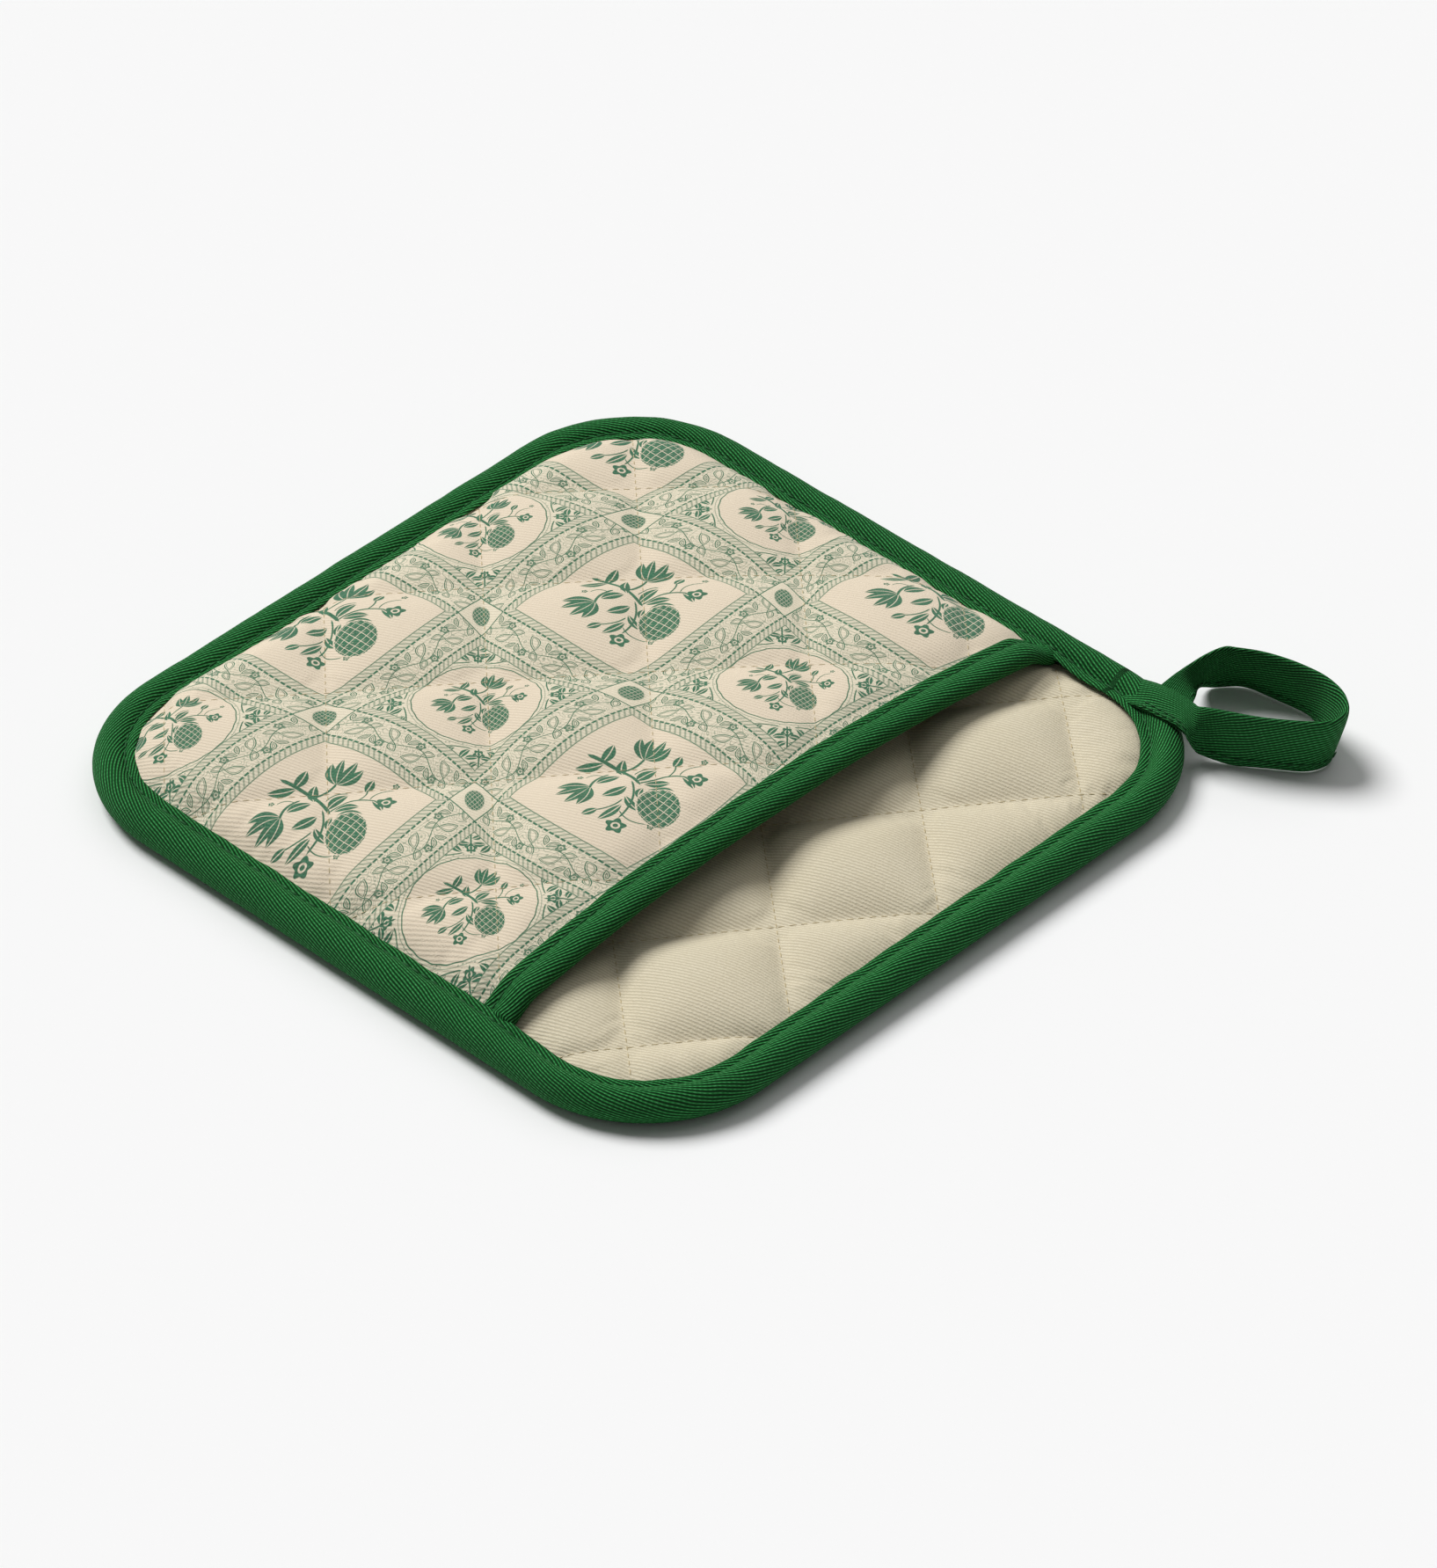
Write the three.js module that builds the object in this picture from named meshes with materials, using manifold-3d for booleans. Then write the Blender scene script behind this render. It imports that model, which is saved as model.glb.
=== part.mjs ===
// Quilted pot holder: a square quilted pad, a quilted pocket over three quarters of its face,
// bias-tape bindings round the pad and along the pocket's mouth, and a hanging loop at one corner.
//
// Millimetres, +Z up. The origin is the pad's centre, on the plane that the holder rests on.
// +Y is the pocket's closed end, -Y the side that its mouth faces. The loop is at the (+X, -Y) corner.
import * as THREE from 'three';
import { mergeVertices } from 'three/addons/utils/BufferGeometryUtils.js';
import Module from 'manifold-3d';

// ---- driving dimensions -------------------------------------------------------------------
const SIDE = 200;                 // outer width of the bound square
const CORNER_RADIUS = 37;         // outer corner radius of the square
const PAD_THICKNESS = 7;          // quilted pad, away from its edge
const SEAM_TOP = 4.6;             // top of the pad where the binding's stitches squeeze it
const SEAM_BOTTOM = 1.6;          // underside of the pad there
const CLOTH = 0.6;                // woven cotton cloth
const LAYER_GAP = 0.2;            // between cloth and wadding
const BINDING_WIDTH = 9.8;        // what the folded edge binding covers, from the outer edge inwards
const BINDING_HEIGHT = 9.6;       // height of the bound edge
const TAPE = 1.2;                 // folded bias tape
const SQUEEZE_WIDTH = 7;          // strip beside a binding in which a quilted layer fills out

const POCKET_INSET = 11.2;        // pocket's sewn edges, from the pad's outer edge
const MOUTH_Y = -48;              // outer edge of the mouth binding
const MOUTH_BINDING_WIDTH = 9;
const MOUTH_TAPE = 0.9;
const MOUTH_RISE = 8.6;           // how far the mouth's middle stands open
const POCKET_CLEARANCE = 1;       // pocket over pad where it is sewn
const POCKET_THICKNESS = 4.2;
const POCKET_SEAM_THICKNESS = 2.2;
const ARCH_POWER = 2.3;           // a flat-topped arch across the mouth

const QUILT_THREAD = 0.8;
const QUILT_INSET = 6;            // quilting stops this far inside the sewn edge
const PAD_QUILT_ORIGIN = [-76.6, -70.5];
const PAD_QUILT_STEPS = [[29.5, -22.6], [23.4, 27.0]];
const POCKET_QUILT_ORIGIN = [-40, 8];
const POCKET_QUILT_STEPS = [[27, -25.8], [25.8, 27]];

const LOOP_TAPE_WIDTH = 15.5;     // folded tape, standing on its edge
const LOOP_TAPE = 2;
const LOOP_FOOT = 0.3;            // its lower edge above the resting plane
const LOOP_TAIL_FOOT = 3.5;       // the sewn ends, pressed down beside the binding
const LOOP_TAIL_TOP = 9;
const LOOP_PIVOT = 127;           // where it flexes, along the diagonal from the pad's centre
const LOOP_END_REACH = 2;         // the sewn ends stop this far beyond, clear of the moving ring

const HALF = SIDE / 2;
const wasm = await Module();
wasm.setup();

// ---- helpers ------------------------------------------------------------------------------
const smooth = (a, b, v) => {
  const t = Math.min(Math.max((v - a) / (b - a), 0), 1);
  return t * t * (3 - 2 * t);
};

// Geometry from a vertex list and faces, with its faces turned outwards.
function closedGeometry(vertices, triangles) {
  let volume = 0;
  for (const [a, b, c] of triangles) {
    volume += new THREE.Vector3(...vertices[a]).dot(
      new THREE.Vector3(...vertices[b]).cross(new THREE.Vector3(...vertices[c])));
  }
  const turned = volume < 0 ? triangles.map(([a, b, c]) => [a, c, b]) : triangles;
  const geometry = new THREE.BufferGeometry();
  geometry.setAttribute('position', new THREE.Float32BufferAttribute(vertices.flat(), 3));
  geometry.setIndex(turned.flat());
  geometry.computeVertexNormals();
  return geometry;
}

// The rounded square at one inset, counter-clockwise. Every inset gives the same number of points.
function squareOutline(inset, arcSteps = 7) {
  const radius = Math.max(CORNER_RADIUS - inset, 2);
  const centre = HALF - inset - radius;
  const points = [];
  for (let corner = 0; corner < 4; corner += 1) {
    const sx = [1, -1, -1, 1][corner];
    const sy = [1, 1, -1, -1][corner];
    for (let step = 0; step <= arcSteps; step += 1) {
      const angle = (corner + step / arcSteps) * Math.PI / 2;
      points.push([sx * centre + radius * Math.cos(angle), sy * centre + radius * Math.sin(angle)]);
    }
  }
  return points;
}

// Sweeps a profile of [inset, z] points round the square. A closed profile makes a ring, and an
// open one, which starts and ends at its innermost inset, is capped flat across the middle.
function sweepRoundSquare(profile, capped) {
  const rings = profile.map(([inset]) => squareOutline(inset));
  const count = rings[0].length;
  const vertices = [];
  rings.forEach((ring, j) => ring.forEach(([x, y]) => vertices.push([x, y, profile[j][1]])));
  const triangles = [];
  const last = capped ? rings.length - 1 : rings.length;
  for (let j = 0; j < last; j += 1) {
    const next = (j + 1) % rings.length;
    for (let k = 0; k < count; k += 1) {
      const m = (k + 1) % count;
      triangles.push([j * count + k, j * count + m, next * count + m]);
      triangles.push([j * count + k, next * count + m, next * count + k]);
    }
  }
  if (capped) {
    const first = vertices.push([0, 0, profile[0][1]]) - 1;
    const final = vertices.push([0, 0, profile.at(-1)[1]]) - 1;
    for (let k = 0; k < count; k += 1) {
      const m = (k + 1) % count;
      triangles.push([first, m, k]);
      triangles.push([final, last * count + k, last * count + m]);
    }
  }
  return closedGeometry(vertices, triangles);
}

// A closed tube whose section, a list of [u, v] points, is placed at each station by place(i, u, v).
function sweepSection(stations, outline, place) {
  const flat = outline.map(([u, v]) => new THREE.Vector2(u, v));
  if (THREE.ShapeUtils.isClockWise(flat)) flat.reverse();
  const section = flat.map(({ x, y }) => [x, y]);
  const vertices = [];
  for (let i = 0; i < stations; i += 1) section.forEach(([u, v]) => vertices.push(place(i, u, v)));
  const n = section.length;
  const triangles = [];
  for (let i = 0; i < stations - 1; i += 1) {
    for (let j = 0; j < n; j += 1) {
      const m = (j + 1) % n;
      triangles.push([i * n + j, i * n + m, (i + 1) * n + m]);
      triangles.push([i * n + j, (i + 1) * n + m, (i + 1) * n + j]);
    }
  }
  const cap = THREE.ShapeUtils.triangulateShape(flat, []);
  const end = (stations - 1) * n;
  for (const [a, b, c] of cap) {
    triangles.push([a, c, b]);
    triangles.push([end + a, end + b, end + c]);
  }
  return closedGeometry(vertices, triangles);
}

function toSolid(geometry) {
  const bare = geometry.clone();
  bare.deleteAttribute('normal');
  const merged = mergeVertices(bare);
  return new wasm.Manifold(new wasm.Mesh({
    numProp: 3,
    vertProperties: new Float32Array(merged.attributes.position.array),
    triVerts: new Uint32Array(merged.index.array),
  }));
}

// Joins overlapping geometries. A piece that reaches none of the others is left out.
function joinedGeometry(geometries) {
  const solid = geometries.map(toSolid).reduce((sum, part) => sum.add(part));
  const largest = solid.decompose().sort((a, b) => b.volume() - a.volume())[0];
  const mesh = largest.getMesh();
  const geometry = new THREE.BufferGeometry();
  geometry.setAttribute('position', new THREE.Float32BufferAttribute(mesh.vertProperties, 3));
  geometry.setIndex([...mesh.triVerts]);
  geometry.computeVertexNormals();
  return geometry;
}

// ---- the pad's and the pocket's surfaces --------------------------------------------------
// How far a point lies inside the rounded square's edge.
function insetAt(x, y) {
  const centre = HALF - CORNER_RADIUS;
  const dx = Math.abs(x) - centre;
  const dy = Math.abs(y) - centre;
  if (dx > 0 && dy > 0) return CORNER_RADIUS - Math.hypot(dx, dy);
  return HALF - Math.max(Math.abs(x), Math.abs(y));
}

const fillOut = (inset) => smooth(POCKET_INSET, POCKET_INSET + SQUEEZE_WIDTH, inset);
const padTop = (x, y) => SEAM_TOP + (PAD_THICKNESS - SEAM_TOP) * fillOut(insetAt(x, y));

const POCKET_END = HALF - POCKET_INSET;
function pocketBase(x, y) {
  const across = 1 - Math.min(Math.abs(x) / (POCKET_END + 3), 1) ** ARCH_POWER;
  const along = Math.min(Math.max((POCKET_END - y) / (POCKET_END - MOUTH_Y), 0), 1.05);
  return padTop(x, y) + POCKET_CLEARANCE + MOUTH_RISE * across * along;
}

// Share of the pocket's full thickness: squeezed at the sewn edges and under the mouth binding.
const MOUTH_SEAM_Y = MOUTH_Y + MOUTH_BINDING_WIDTH;
const pocketFill = (x, y) => Math.min(
  fillOut(insetAt(x, y)), smooth(MOUTH_SEAM_Y, MOUTH_SEAM_Y + SQUEEZE_WIDTH, y));
const pocketThickness = (x, y) => POCKET_SEAM_THICKNESS
  + (POCKET_THICKNESS - POCKET_SEAM_THICKNESS) * pocketFill(x, y);

// Half the pocket's width at one y: straight sides that turn in at the closed end's corners.
function pocketHalfWidth(y) {
  const radius = CORNER_RADIUS - POCKET_INSET;
  const rise = Math.max(y - (POCKET_END - radius), 0);
  return POCKET_END - radius + Math.sqrt(Math.max(radius * radius - rise * rise, 0));
}

// Places across the pocket, as shares of its half width, closer together towards the sewn sides.
const COLUMNS = 20;
function columnShare(i) {
  const t = i / COLUMNS - 0.5;
  return 0.75 * Math.sin(t * Math.PI) + 0.5 * t;
}

// One layer of the pocket, between two heights over its underside.
function pocketLayer(lower, upper) {
  const rows = [MOUTH_Y + 2.4, MOUTH_SEAM_Y - 2, MOUTH_SEAM_Y + 1, MOUTH_SEAM_Y + 4, MOUTH_SEAM_Y + 8,
    -10, 10, 30, 48, POCKET_END - 25, POCKET_END - 17, POCKET_END - 10, POCKET_END - 5, POCKET_END - 2,
    POCKET_END];
  const vertices = [];
  for (const height of [lower, upper]) {
    for (const y of rows) {
      for (let i = 0; i <= COLUMNS; i += 1) {
        const x = pocketHalfWidth(y) * columnShare(i);
        vertices.push([x, y, pocketBase(x, y) + height(pocketThickness(x, y))]);
      }
    }
  }
  const stride = COLUMNS + 1;
  const sheet = stride * rows.length;
  const triangles = [];
  for (let j = 0; j < rows.length - 1; j += 1) {
    for (let i = 0; i < COLUMNS; i += 1) {
      const a = j * stride + i;
      triangles.push([a, a + stride, a + 1], [a + 1, a + stride, a + stride + 1]);
      triangles.push([sheet + a, sheet + a + 1, sheet + a + stride]);
      triangles.push([sheet + a + 1, sheet + a + stride + 1, sheet + a + stride]);
    }
  }
  const border = [];
  for (let i = 0; i < COLUMNS; i += 1) border.push(i);
  for (let j = 0; j < rows.length - 1; j += 1) border.push(j * stride + COLUMNS);
  for (let i = COLUMNS; i > 0; i -= 1) border.push((rows.length - 1) * stride + i);
  for (let j = rows.length - 1; j > 0; j -= 1) border.push(j * stride);
  border.forEach((a, k) => {
    const b = border[(k + 1) % border.length];
    triangles.push([a, b, sheet + b], [a, sheet + b, sheet + a]);
  });
  return closedGeometry(vertices, triangles);
}

// ---- quilting -----------------------------------------------------------------------------
// A net of thread lines along both directions of a lattice, joined where the lines cross.
function quiltingNet(origin, steps, region, height) {
  const strips = [];
  const halfWidth = QUILT_THREAD / 2;
  steps.forEach((along, side) => {
    const across = steps[1 - side];
    const length = Math.hypot(...along);
    const dir = [along[0] / length, along[1] / length];
    for (let line = -8; line <= 8; line += 1) {
      const start = [origin[0] + line * across[0], origin[1] + line * across[1]];
      const inside = [];
      for (let s = -260; s <= 260; s += 2) {
        const p = [start[0] + s * dir[0], start[1] + s * dir[1]];
        if (region(...p)) inside.push(s);
      }
      if (inside.length < 8) continue;
      const [from, to] = [inside[0], inside.at(-1)];
      const stations = Math.max(Math.round((to - from) / 7), 2) + 1;
      const section = [[-halfWidth, 0], [halfWidth, 0], [halfWidth, 1], [-halfWidth, 1]];
      strips.push(sweepSection(stations, section, (i, u, v) => {
        const s = from + (to - from) * i / (stations - 1);
        const x = start[0] + s * dir[0] - u * dir[1];
        const y = start[1] + s * dir[1] + u * dir[0];
        return [x, y, height(x, y) + (v ? 0.4 : 0)];
      }));
    }
  });
  return joinedGeometry(strips);
}

// ---- hanging loop -------------------------------------------------------------------------
// Plan points of the loop's tape: [out along the corner's diagonal, to the +X +Y side of it].
const FRONT_STRAND = [[127, 2.5], [128, 1.8], [LOOP_PIVOT + LOOP_END_REACH, 1]];
const RING = [[131.3, -0.5], [138, -2.4], [147, -4], [155, -4.3], [161, -2], [163.8, 3], [162.4, 9],
  [158.5, 15], [152, 20.5], [145, 23.6], [138, 24.2], [133.5, 22.8], [131.3, 21.2]];
const BACK_STRAND = [[LOOP_PIVOT + LOOP_END_REACH, 18.2], [127.8, 15.5], [127, 12.4], [127.2, 9.4]];

function planPoint(out, side) {
  return [(out + side) / Math.SQRT2, (side - out) / Math.SQRT2];
}

// Tape standing on its edge along a plan curve.
function standingTape(points, steps, low, high, nearFace, farFace) {
  const curve = new THREE.CatmullRomCurve3(points.map(([out, side]) => (
    new THREE.Vector3(...planPoint(out, side), 0))), false, 'centripetal');
  const section = [[nearFace, low], [farFace, low], [farFace, high], [nearFace, high]];
  return sweepSection(steps + 1, section, (i, u, v) => {
    const at = curve.getPointAt(i / steps);
    const dir = curve.getTangentAt(i / steps);
    return [at.x + u * dir.y, at.y - u * dir.x, v];
  });
}

// ---- the pieces ---------------------------------------------------------------------------
const cotton = (color, roughness = 0.9) => new THREE.MeshStandardMaterial({
  color, roughness, metalness: 0 });
const PRINT = 0xdccdb2;
const CREAM = 0xded3b9;
const WADDING = 0xf2efe6;
const GREEN = 0x1c6b2d;
const GREEN_THREAD = 0x175a28;
const TAN_THREAD = 0xcdb88f;

const group = new THREE.Group();
function addPiece(name, geometry, material) {
  const mesh = new THREE.Mesh(geometry, material);
  mesh.name = name;
  group.add(mesh);
}

// Pad layers, from the resting plane up. Each one ends inside the binding's fold.
const PAD_EDGE = 4.6;
const FULL = POCKET_INSET + SQUEEZE_WIDTH;
function padLayer(seamLow, seamHigh, low, high) {
  const turn = POCKET_INSET + SQUEEZE_WIDTH / 2;
  return sweepRoundSquare([
    [FULL, low], [turn, (low + seamLow) / 2], [POCKET_INSET, seamLow], [PAD_EDGE, seamLow],
    [PAD_EDGE, seamHigh], [POCKET_INSET, seamHigh], [turn, (high + seamHigh) / 2], [FULL, high],
  ], true);
}
const padLower = SEAM_BOTTOM + CLOTH + LAYER_GAP;
const padUpper = SEAM_TOP - CLOTH - LAYER_GAP;
addPiece('back_cloth', padLayer(SEAM_BOTTOM, SEAM_BOTTOM + CLOTH, 0, CLOTH), cotton(PRINT));
addPiece('pad_wadding', padLayer(padLower, padUpper, CLOTH + LAYER_GAP,
  PAD_THICKNESS - CLOTH - LAYER_GAP), cotton(WADDING, 1));
addPiece('pad_lining_cloth', padLayer(SEAM_TOP - CLOTH, SEAM_TOP, PAD_THICKNESS - CLOTH,
  PAD_THICKNESS), cotton(CREAM));

// Edge binding: one tape folded over the pad's edge, a U in section.
addPiece('edge_binding', sweepRoundSquare([
  [BINDING_WIDTH, 0], [4.2, 0], [1.3, 1.2], [0, 4.2], [0.4, 7], [2, 9], [4.6, BINDING_HEIGHT],
  [7.6, 9.1], [BINDING_WIDTH, 8.3], [BINDING_WIDTH, 8.3 - TAPE], [7.6, 9.1 - TAPE],
  [4.8, BINDING_HEIGHT - TAPE], [2.8, 7.9], [1.7, 6.6], [TAPE, 4.3], [2.2, 2.1], [4.4, TAPE],
  [BINDING_WIDTH, TAPE],
], false), cotton(GREEN, 0.85));
addPiece('edge_binding_thread', sweepRoundSquare([
  [8.4, 9.0], [7.9, 9.2], [7.9, 9.6], [8.4, 9.6],
], false), cotton(GREEN_THREAD, 0.7));

addPiece('pad_quilting_thread', quiltingNet(
  PAD_QUILT_ORIGIN, PAD_QUILT_STEPS,
  (x, y) => insetAt(x, y) > POCKET_INSET + QUILT_INSET,
  (x, y) => padTop(x, y) + 0.3), cotton(TAN_THREAD, 0.7));

// Pocket layers, from the hand's side up.
addPiece('pocket_lining_cloth', pocketLayer(() => 0, () => CLOTH - 0.1), cotton(CREAM));
addPiece('pocket_wadding', pocketLayer(() => CLOTH + 0.1, (t) => t - CLOTH - 0.1),
  cotton(WADDING, 1));
addPiece('pocket_print_cloth', pocketLayer((t) => t - CLOTH + 0.1, (t) => t), cotton(PRINT));

// Mouth binding: a tape folded over the pocket's free edge. The section's points are
// [y, height over the pocket's underside].
const mouthTop = POCKET_SEAM_THICKNESS + LAYER_GAP;
const mouthLow = -LAYER_GAP;
const MOUTH_SECTION = [
  [MOUTH_SEAM_Y, mouthLow - MOUTH_TAPE], [MOUTH_Y + 1.6, mouthLow - MOUTH_TAPE], [MOUTH_Y, 0.4],
  [MOUTH_Y, 1.8], [MOUTH_Y + 1.6, mouthTop + MOUTH_TAPE], [MOUTH_SEAM_Y, mouthTop + MOUTH_TAPE],
  [MOUTH_SEAM_Y, mouthTop], [MOUTH_Y + 2, mouthTop], [MOUTH_Y + 1.1, 1.6], [MOUTH_Y + 1.1, 0.6],
  [MOUTH_Y + 2, mouthLow], [MOUTH_SEAM_Y, mouthLow],
];
function alongMouth(section) {
  return sweepSection(COLUMNS + 1, section, (i, y, height) => {
    const x = POCKET_END * columnShare(i);
    return [x, y, pocketBase(x, y) + height];
  });
}
addPiece('mouth_binding', alongMouth(MOUTH_SECTION), cotton(GREEN, 0.85));
const threadLow = mouthTop + MOUTH_TAPE + 0.25;
addPiece('mouth_binding_thread', alongMouth([
  [MOUTH_SEAM_Y - 1.9, threadLow], [MOUTH_SEAM_Y - 1.4, threadLow],
  [MOUTH_SEAM_Y - 1.4, threadLow + 0.4], [MOUTH_SEAM_Y - 1.9, threadLow + 0.4],
]), cotton(GREEN_THREAD, 0.7));

addPiece('pocket_quilting_thread', quiltingNet(
  POCKET_QUILT_ORIGIN, POCKET_QUILT_STEPS,
  (x, y) => y > MOUTH_SEAM_Y + 1.5 && insetAt(x, y) > POCKET_INSET + QUILT_INSET,
  (x, y) => pocketBase(x, y) + pocketThickness(x, y) + 0.35), cotton(TAN_THREAD, 0.7));

// Hanging loop: its two ends are sewn to the corner, and the ring between them lifts.
const loopTop = LOOP_FOOT + LOOP_TAPE_WIDTH;
const halfTape = LOOP_TAPE / 2;
addPiece('loop_front_end', standingTape(
  FRONT_STRAND, 4, LOOP_TAIL_FOOT, LOOP_TAIL_TOP, -halfTape, halfTape), cotton(GREEN, 0.85));
addPiece('loop_back_end', standingTape(
  BACK_STRAND, 6, LOOP_TAIL_FOOT, LOOP_TAIL_TOP, -halfTape, halfTape), cotton(GREEN, 0.85));
addPiece('hanging_loop', standingTape(RING, 34, LOOP_FOOT, loopTop, -halfTape, halfTape),
  cotton(GREEN, 0.85));
addPiece('loop_thread', standingTape(RING, 34, LOOP_FOOT + 1.6, LOOP_FOOT + 2.1, halfTape + 0.25,
  halfTape + 0.65), cotton(GREEN_THREAD, 0.7));
addPiece('loop_bar_tack', standingTape(
  [[119.2, 8.2], [119.2, 6], [119.2, 3.8]], 2, BINDING_HEIGHT + 0.25, BINDING_HEIGHT + 0.8, -0.6, 0.6),
cotton(GREEN_THREAD, 0.7));

export default group;
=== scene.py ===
"""Quilted pot holder: a printed cotton pad, a hand pocket, bias-tape bindings and a hanging loop.

Every size here is in millimetres, and is turned into metres where a mesh is made. +Z is up, +Y is the
pocket's sewn end, and the hanging loop is at the (+X, -Y) corner.
"""

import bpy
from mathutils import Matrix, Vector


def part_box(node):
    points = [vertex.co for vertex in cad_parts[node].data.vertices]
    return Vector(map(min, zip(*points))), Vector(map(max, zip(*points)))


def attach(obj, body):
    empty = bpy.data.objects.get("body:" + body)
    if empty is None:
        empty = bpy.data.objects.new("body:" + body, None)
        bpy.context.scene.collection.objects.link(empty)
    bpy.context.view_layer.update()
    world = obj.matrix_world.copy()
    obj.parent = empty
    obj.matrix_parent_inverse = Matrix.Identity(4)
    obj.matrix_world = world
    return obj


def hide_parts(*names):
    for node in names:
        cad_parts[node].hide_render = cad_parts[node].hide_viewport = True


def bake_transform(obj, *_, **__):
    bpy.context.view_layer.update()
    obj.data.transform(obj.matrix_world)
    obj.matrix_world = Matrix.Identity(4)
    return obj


bl_info = {
    "name": "Quilted pot holder",
    "version": (1, 0, 0),
    "blender": (4, 5, 0),
    "location": "View3D > Sidebar > Pot holder",
    "description": "Builds a quilted pot holder with a pocket, bindings and a hanging loop",
    "category": "Object",
}

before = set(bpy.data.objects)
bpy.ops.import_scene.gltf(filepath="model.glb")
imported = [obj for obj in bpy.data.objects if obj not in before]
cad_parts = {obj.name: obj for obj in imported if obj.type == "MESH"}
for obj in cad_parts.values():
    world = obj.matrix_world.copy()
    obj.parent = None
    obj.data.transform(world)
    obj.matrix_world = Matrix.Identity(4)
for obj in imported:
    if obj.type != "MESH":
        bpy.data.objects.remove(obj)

import math

import bpy
import numpy as np
from mathutils import Vector
from mathutils.bvhtree import BVHTree

MM = 0.001


def cad_box(node):
    """A CAD node's lowest and highest corners, in millimetres."""
    low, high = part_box(node)
    return np.array(low) / MM, np.array(high) / MM


# ---- driving sizes, from the CAD frame ------------------------------------------------------
HALF = cad_box("edge_binding")[1][0]
CORNER_RADIUS = 37.0
POCKET_END = cad_box("pocket_print_cloth")[1][1]
MOUTH_Y = cad_box("mouth_binding")[0][1]
MOUTH_SEAM_Y = cad_box("mouth_binding")[1][1]
# How high the mouth's middle stands above its sewn ends, and how square the arch is.
MOUTH_RISE, ARCH_POWER = 8.6, 2.3
SEAM_TOP = cad_box("pad_lining_cloth")[0][2] + 0.6
LOOP_LOW, LOOP_HIGH = cad_box("hanging_loop")
TAPE_WIDTH = LOOP_HIGH[2] - LOOP_LOW[2]

# Distances in from the pad's outline: where the edge binding is stitched, where the pad's and the pocket's
# cloths end under it, and how far in it holds them flat.
STITCH_INSET, PAD_CLOTH_INSET, POCKET_CLOTH_INSET, BOUND_INSET = 7.8, 8.4, 9.0, 10.0
# The mouth binding's stitching, in from the mouth's edge.
MOUTH_STITCH = 6.7

# Quilting lattices: a crossing, and the steps to the next crossings along each line.
PAD_QUILT = ((-76.6, -70.5), (29.5, -22.6), (23.4, 27.0))
POCKET_QUILT = ((-40.0, 8.0), (27.0, -25.8), (25.8, 27.0))
BACK_QUILT = ((-76.6, 70.5), (29.5, 22.6), (23.4, -27.0))

# The loop's tape in plan: out along the corner's diagonal, to its +X +Y side, and its top edge's lean.
LOOP_ROUTE = ((136.0, -0.8, 0.0), (141.8, -2.4, 0.3), (147.8, -3.8, 0.2), (153.5, -4.4, 0.4),
              (158.2, -3.6, 1.4), (161.2, -0.6, 2.0), (161.3, 5.0, 1.6), (159.2, 11.0, 0.4),
              (155.4, 16.0, -0.8), (150.6, 20.0, -1.5), (145.4, 23.0, -2.0), (140.2, 25.0, -2.6))


# ---- shape functions ------------------------------------------------------------------------
def smooth(low, high, value):
    """Rises smoothly from nothing at low to one at high, which may be the smaller of the two."""
    t = np.clip((np.asarray(value, float) - low) / (high - low), 0, 1)
    return t * t * (3 - 2 * t)


def inset_at(x, y):
    """How far a point lies inside the rounded square's edge."""
    centre = HALF - CORNER_RADIUS
    dx, dy = np.abs(x) - centre, np.abs(y) - centre
    corner = CORNER_RADIUS - np.hypot(np.maximum(dx, 0), np.maximum(dy, 0))
    return np.where((dx > 0) & (dy > 0), corner, HALF - np.maximum(np.abs(x), np.abs(y)))


def half_width(y, edge, low_round=True):
    """Half the width at y of a square whose edge lies that far in, with rounded corners."""
    radius = CORNER_RADIUS - edge
    end = HALF - edge
    past = np.abs(y) - (end - radius)
    if not low_round:
        past = np.where(y < 0, 0, past)
    return end - radius + np.sqrt(np.maximum(radius**2 - np.maximum(past, 0) ** 2, 0))


def lattice_distance(x, y, lattice):
    """Distances to the nearest quilting line of each of the two directions."""
    (ox, oy), a, b = lattice
    cross = a[0] * b[1] - a[1] * b[0]
    dx, dy = x - ox, y - oy
    i = (dx * b[1] - dy * b[0]) / cross
    j = (a[0] * dy - a[1] * dx) / cross
    to_j = np.abs(j - np.round(j)) * abs(cross) / math.hypot(*a)
    to_i = np.abs(i - np.round(i)) * abs(cross) / math.hypot(*b)
    return to_i, to_j


def pad_base(x, y):
    """Height of the pad's stitched face, which the binding's seam pulls down at its edge."""
    return SEAM_TOP + 1.1 * smooth(9, 17, inset_at(x, y))


def pocket_underside(x, y):
    """Height of the pocket's lining, which arches up towards the mouth's middle."""
    across = 1 - np.minimum(np.abs(x) / (POCKET_END + 3), 1) ** ARCH_POWER
    along = np.clip((POCKET_END - y) / (POCKET_END - MOUTH_Y), 0, 1.05)
    return SEAM_TOP + 0.3 + 3.1 * smooth(9, 18, inset_at(x, y)) + MOUTH_RISE * across * along


def pocket_face(x, y):
    """Height of the pocket's stitched face: thinner at its sewn edges and under the mouth binding."""
    fill = np.minimum(smooth(9.5, 18, inset_at(x, y)), smooth(MOUTH_SEAM_Y, MOUTH_SEAM_Y + 8, y))
    return pocket_underside(x, y) + 2.3 + 1.3 * fill


def flange_drop(y):
    """How far the edge binding's flange sinks in front of the mouth, where no pocket fills it."""
    return 1.7 * smooth(-44, -58, y)


def lift_share(x):
    """How far the pocket follows its own body: all the way at the mouth's middle, not at its sewn sides."""
    return 1 - np.minimum(np.abs(x) / (HALF - 9.5), 1) ** ARCH_POWER


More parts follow.
